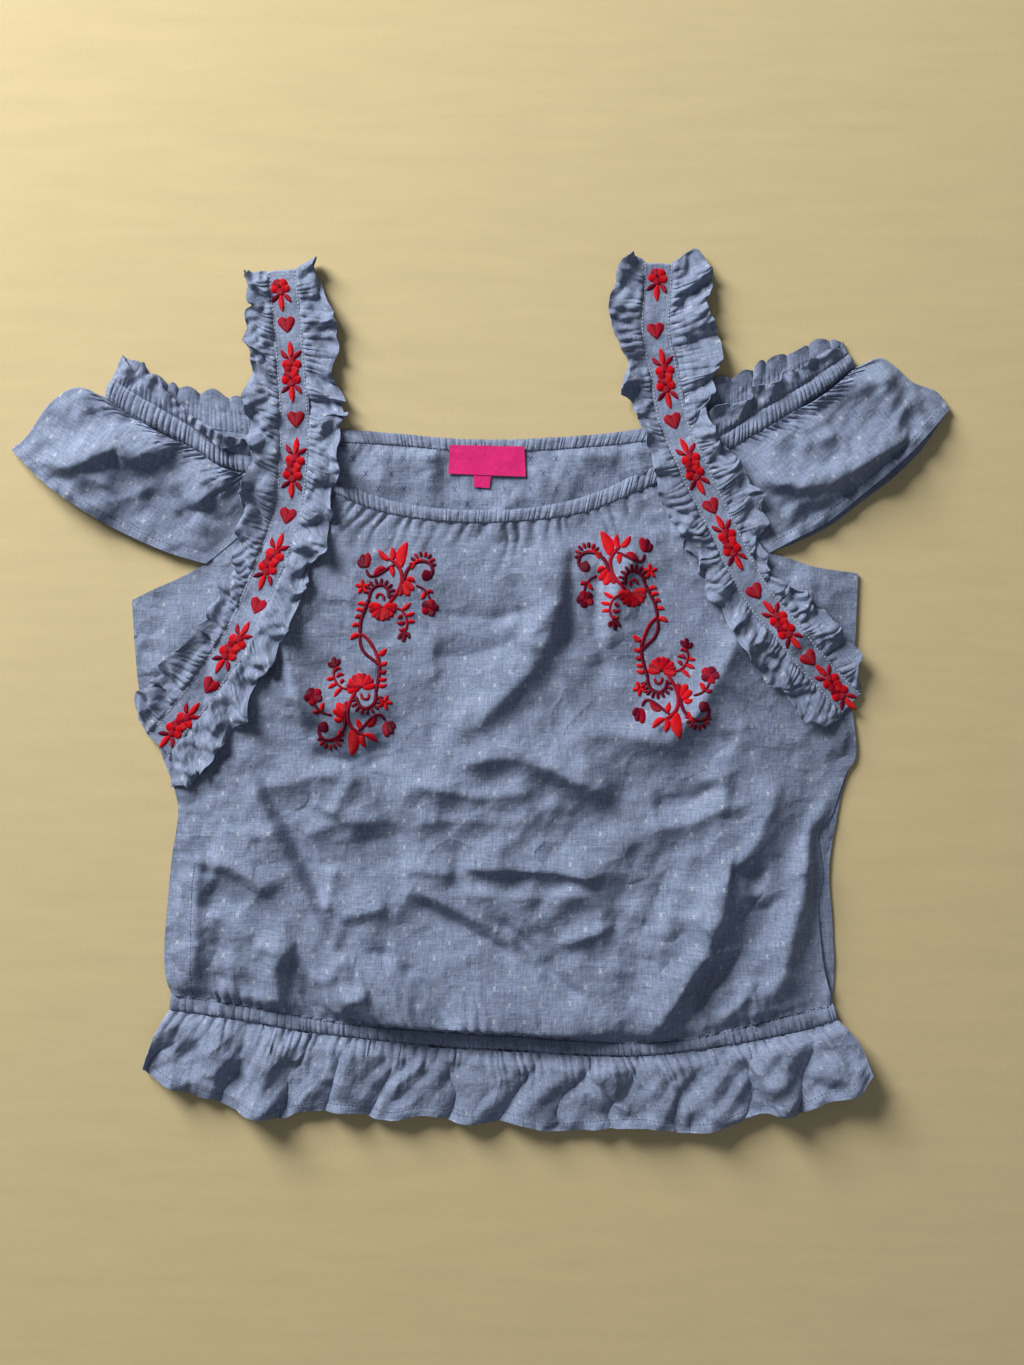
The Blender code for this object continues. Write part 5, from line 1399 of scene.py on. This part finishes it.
class BlouseColours(bpy.types.PropertyGroup):
    blue_dark: bpy.props.FloatVectorProperty(name="Warp blue", description="The darker thread of the cloth",
                                             default=(0.066, 0.086, 0.145, 1.0), size=4, subtype="COLOR")
    blue_pale: bpy.props.FloatVectorProperty(name="Weft blue", description="The paler thread of the cloth",
                                             default=(0.285, 0.345, 0.495, 1.0), size=4, subtype="COLOR")
    marks: bpy.props.FloatVectorProperty(name="Woven marks", description="The small woven crosses",
                                         default=(0.72, 0.72, 0.70, 1.0), size=4, subtype="COLOR")
    scarlet: bpy.props.FloatVectorProperty(name="Scarlet thread", description="The brightest satin stitch",
                                           default=(0.66, 0.004, 0.012, 1.0), size=4, subtype="COLOR")
    crimson: bpy.props.FloatVectorProperty(name="Crimson thread", description="The middle satin stitch",
                                           default=(0.36, 0.002, 0.018, 1.0), size=4, subtype="COLOR")
    maroon: bpy.props.FloatVectorProperty(name="Maroon thread", description="The darkest satin stitch",
                                          default=(0.15, 0.002, 0.018, 1.0), size=4, subtype="COLOR")
    sewing: bpy.props.FloatVectorProperty(name="Sewing thread", description="The pale seam thread",
                                          default=(0.42, 0.46, 0.55, 1.0), size=4, subtype="COLOR")
    label: bpy.props.FloatVectorProperty(name="Label", description="The woven label",
                                         default=(0.80, 0.022, 0.20, 1.0), size=4, subtype="COLOR")
    floor: bpy.props.FloatVectorProperty(name="Floor", description="The plain pale floor",
                                         default=(0.56, 0.46, 0.255, 1.0), size=4, subtype="COLOR")


class BlouseStage(bpy.types.PropertyGroup):
    height: bpy.props.FloatProperty(name="Camera height", description="Height of the camera over the cloth",
                                    default=0.86, min=0.3, unit="LENGTH")
    view: bpy.props.FloatProperty(name="View length", description="Length of floor that the image covers",
                                  default=0.8654, min=0.2, unit="LENGTH")
    key: bpy.props.FloatProperty(name="Window light", description="Power of the large soft light in watts",
                                 default=136.0, min=0.0)
    fill: bpy.props.FloatProperty(name="Fill light", description="Power in watts of the weak light opposite",
                                  default=3.0, min=0.0)


class BLOUSE_OT_finishes(bpy.types.Operator):
    """Makes the cloth, thread, label and floor materials"""

    bl_idname = "blouse.finishes"
    bl_label = "Materials"

    def execute(self, context):
        colours = context.scene.blouse_colours
        dark, pale, marks = tuple(colours.blue_dark), tuple(colours.blue_pale), tuple(colours.marks)
        lighter = toned(pale, 1.1)
        dark_marks = (0.018, 0.030, 0.13, 1.0)
        chambray("chambray", dark, pale, marks, mark_strength=0.42)
        chambray("chambray_inside", dark, lighter, dark_marks, mark_strength=1.0, mark_step=(0.016, 0.0095),
                 mark_half=1.7)
        chambray("chambray_casing", dark, pale, marks, mark_strength=0.35)
        chambray("strap_tape", dark, lighter, marks, mark_strength=0.25)
        for name in ("scarlet", "crimson", "maroon"):
            colour = tuple(getattr(colours, name))
            satin_thread(f"thread_{name}", colour, toned(colour, 0.62))
        sewing_thread("thread_pale", tuple(colours.sewing), toned(colours.sewing, 0.7))
        sewing_thread("thread_dark", (0.060, 0.080, 0.140, 1.0), (0.028, 0.038, 0.075, 1.0))
        woven_label("label", tuple(colours.label), toned(colours.label, 0.72))
        floor_finish("floor", tuple(colours.floor))
        return {"FINISHED"}


class BLOUSE_OT_body(bpy.types.Operator):
    """Lays the back, the front and the casings at the neck and the waist"""

    bl_idname = "blouse.body"
    bl_label = "Body"

    def execute(self, context):
        sizes = context.scene.blouse_cloth
        back_panel(sizes)
        neck_back = casing("neck_back", "back_neck_casing", NECK_BACK_LOW, NECK_BACK_TOP, sizes,
                           ribs=74, middle_height=0.9, crown=0.7, rib=0.6, seed=71)
        label("label_cloth", LABEL_CORNERS, "neck_label", lift=0.9)
        label("tab_cloth", TAB_CORNERS, "size_tab", lift=0.7)
        front_panel(sizes)
        neck_front = casing("neck_front", "front_neck_casing", NECK_FRONT_LOW, NECK_FRONT_TOP, sizes,
                            ribs=84, middle_height=2.5, crown=1.2, rib=0.6, seed=72)
        waist_back = casing("waist_back", "waist_casing_back", WAIST_LOW, WAIST_TOP, sizes,
                            ribs=70, middle_height=0.8, crown=0.4, rib=0.6, seed=73, rows=6)
        waist_front = casing("waist_front", "waist_casing_front", WAIST_LOW, WAIST_TOP, sizes,
                             ribs=104, middle_height=2.3, crown=1.5, rib=0.85, seed=74)
        return {"FINISHED"}


class BLOUSE_OT_sleeves(bpy.types.Operator):
    """Lays the two flared sleeves with their casings and gathered frills"""

    bl_idname = "blouse.sleeves"
    bl_label = "Sleeves"

    def execute(self, context):
        for cut in SLEEVES:
            for part in (sleeve, sleeve_casing, sleeve_frill):
                part(cut, context.scene.blouse_cloth)
        return {"FINISHED"}


class BLOUSE_OT_peplum(bpy.types.Operator):
    """Lays the gathered peplum below the waist"""

    bl_idname = "blouse.peplum"
    bl_label = "Peplum"

    def execute(self, context):
        peplum_back(context.scene.blouse_cloth)
        peplum_front(context.scene.blouse_cloth)
        return {"FINISHED"}


class BLOUSE_OT_straps(bpy.types.Operator):
    """Lays the shoulder straps: tapes and gathered ruffles"""

    bl_idname = "blouse.straps"
    bl_label = "Straps"

    def execute(self, context):
        for cut in STRAPS:
            strap(cut, context.scene.blouse_cloth)
        return {"FINISHED"}


class BLOUSE_OT_embroidery(bpy.types.Operator):
    """Stitches the scrolls on the front, and the sprigs and hearts on the straps"""

    bl_idname = "blouse.embroidery"
    bl_label = "Embroidery"

    def execute(self, context):
        half = SCROLL + [stroke for cut in SCROLL_FANS for stroke in fan(cut)]
        placed = []
        for place in SCROLL_PLACES:
            angle = math.radians(place.turn)
            placed += [(stroke, angle, place.centre, place.mirror) for stroke in place.link + half]
        embroider("front_scrolls", placed, ["front_cloth"], crown=0.75)
        whole_sprig = SPRIG + sprig_strokes(SPRIG_FLOWERS)
        lower_sprig = SPRIG[3:] + sprig_strokes(SPRIG_FLOWERS[1:])
        for cut, fold_spot in zip(STRAPS, HALF_SPRIGS):
            motifs = [(spot, whole_sprig) for spot in cut.sprigs]
            motifs += [(spot, HEART) for spot in cut.hearts]
            motifs.append((fold_spot, lower_sprig))
            placed = []
            for spot, strokes in motifs:
                angle = strap_angle(cut, spot)
                placed += [(stroke, angle, spot, 1) for stroke in strokes]
            name = f"strap_{cut.side}"
            embroider(f"{name}_sprigs", placed, [f"{name}_tape_cloth"], crown=0.75)
        return {"FINISHED"}


class BLOUSE_OT_sewing(bpy.types.Operator):
    """Sews the stitch lines along the tapes, casings, hems and the side seam"""

    bl_idname = "blouse.sewing"
    bl_label = "Stitch lines"

    def execute(self, context):
        half = context.scene.blouse_cloth.tape / 2
        routes = []
        for cut in STRAPS:
            middle, _, outwards = strap_lines(cut, 260)
            for sign in (1, -1):
                line = middle + outwards * sign * (half - TAPE_INSET)
                routes.append(dropped(line, [f"strap_{cut.side}_tape_cloth"], lift=0.12, missing=6.0))
        sewn("stitches_tape", routes, finishes["thread_pale"], pitch=2.3, length=1.9,
             thickness=0.75, seed=3)

        routes = []
        hem = offset_route(HEM, count=320, inwards=HEM_INSET)
        routes.append(dropped(hem[4:-4], ["peplum_front_cloth"], lift=0.1, missing=4.0))
        for cut in SLEEVES:
            inwards = -HEM_INSET if cut.side == "left" else HEM_INSET
            line = offset_route(cut.hem, count=160, inwards=inwards)
            routes.append(dropped(line[6:-8], [f"sleeve_{cut.side}_cloth"], lift=0.1, missing=4.0))
        sewn("stitches_hem", routes, finishes["thread_dark"], pitch=2.4, length=1.7,
             thickness=0.5, seed=5)

        routes = []
        for route, name, inwards in ((NECK_FRONT_LOW, "neck_front", 1.0), (WAIST_TOP, "waist_front", -1.0),
                                     (WAIST_LOW, "waist_front", 1.1), (NECK_BACK_LOW, "neck_back", 1.0)):
            line = offset_route(route, count=420, inwards=inwards)
            routes.append(dropped(line[4:-4], [name], lift=0.05, missing=3.0))
        for cut in SLEEVES:
            inwards = -1.0 if cut.side == "left" else 1.0
            line = offset_route(cut.top, count=180, inwards=inwards)
            on = [f"sleeve_{cut.side}_casing_cloth"]
            routes.append(dropped(line[6:-8], on, lift=0.05, missing=4.0))
        side_seam = along(SIDE_SEAM, np.linspace(0, 1, 90))
        routes.append(dropped(side_seam, ["front_cloth"], lift=0.02, missing=3.0))
        sewn("stitches_casing", routes, finishes["thread_dark"], pitch=2.1, length=1.8,
             thickness=0.75, seed=9)
        return {"FINISHED"}


class BLOUSE_OT_stage(bpy.types.Operator):
    """Sets the plain pale floor, the soft studio light and the camera straight above"""

    bl_idname = "blouse.stage"
    bl_label = "Stage"

    def execute(self, context):
        settings = context.scene.blouse_stage
        scene = context.scene
        mesh = bpy.data.meshes.new("floor")
        signs = ((-1, -1), (1, -1), (1, 1), (-1, 1))
        corners = [(FLOOR_HALF * x, FLOOR_HALF * y, 0) for x, y in signs]
        mesh.from_pydata(corners, [], [(0, 1, 2, 3)])
        mesh.materials.append(finishes["floor"])
        floor = bpy.data.objects.new("floor", mesh)
        scene.collection.objects.link(floor)

        add_light("window", place=(-1.5, 1.78, 1.1), size=1.2, power=settings.key, colour=(1.0, 0.985, 0.96))
        add_light("fill", place=(0.7, -0.9, 1.5), size=1.6, power=settings.fill, colour=(0.92, 0.95, 1.0))

        world = bpy.data.worlds.new("studio")
        world.use_nodes = True
        background = world.node_tree.nodes["Background"]
        background.inputs["Color"].default_value = (0.88, 0.93, 1.0, 1.0)
        background.inputs["Strength"].default_value = 0.12
        scene.world = world
        scene.view_settings.view_transform = "Standard"

        lens = bpy.data.cameras.new("camera")
        lens.sensor_fit = "AUTO"
        lens.sensor_width = SENSOR
        lens.lens = SENSOR * settings.height / settings.view
        camera = bpy.data.objects.new("camera", lens)
        camera.location = (*CAMERA_OVER, settings.height)
        scene.collection.objects.link(camera)
        scene.camera = camera
        return {"FINISHED"}


OPERATORS = (
    BLOUSE_OT_finishes,
    BLOUSE_OT_body,
    BLOUSE_OT_sleeves,
    BLOUSE_OT_peplum,
    BLOUSE_OT_straps,
    BLOUSE_OT_embroidery,
    BLOUSE_OT_sewing,
    BLOUSE_OT_stage,
)


class BLOUSE_PT_sidebar(bpy.types.Panel):
    """Lists the blouse's settings and steps"""

    bl_idname = "BLOUSE_PT_sidebar"
    bl_label = "Dirndl Blouse"
    bl_space_type = "VIEW_3D"
    bl_region_type = "UI"
    bl_category = "Blouse"

    def draw(self, context):
        for group in (context.scene.blouse_cloth, context.scene.blouse_colours, context.scene.blouse_stage):
            box = self.layout.box()
            for name in group.bl_rna.properties.keys():
                if name not in ("rna_type", "name"):
                    box.prop(group, name)
        for operator in OPERATORS:
            self.layout.operator(operator.bl_idname)


GROUPS = {"blouse_cloth": BlouseCloth, "blouse_colours": BlouseColours, "blouse_stage": BlouseStage}


def register():
    for name, group in GROUPS.items():
        bpy.utils.register_class(group)
        setattr(bpy.types.Scene, name, bpy.props.PointerProperty(type=group))
    for shown in OPERATORS + (BLOUSE_PT_sidebar,):
        bpy.utils.register_class(shown)


def unregister():
    for shown in reversed(OPERATORS + (BLOUSE_PT_sidebar,)):
        bpy.utils.unregister_class(shown)
    for name, group in GROUPS.items():
        delattr(bpy.types.Scene, name)
        bpy.utils.unregister_class(group)


def main():
    """Registers the add-on and runs its steps in order."""
    register()
    for operator in OPERATORS:
        group, name = operator.bl_idname.split(".")
        getattr(getattr(bpy.ops, group), name)()


if __name__ == "__main__":
    main()
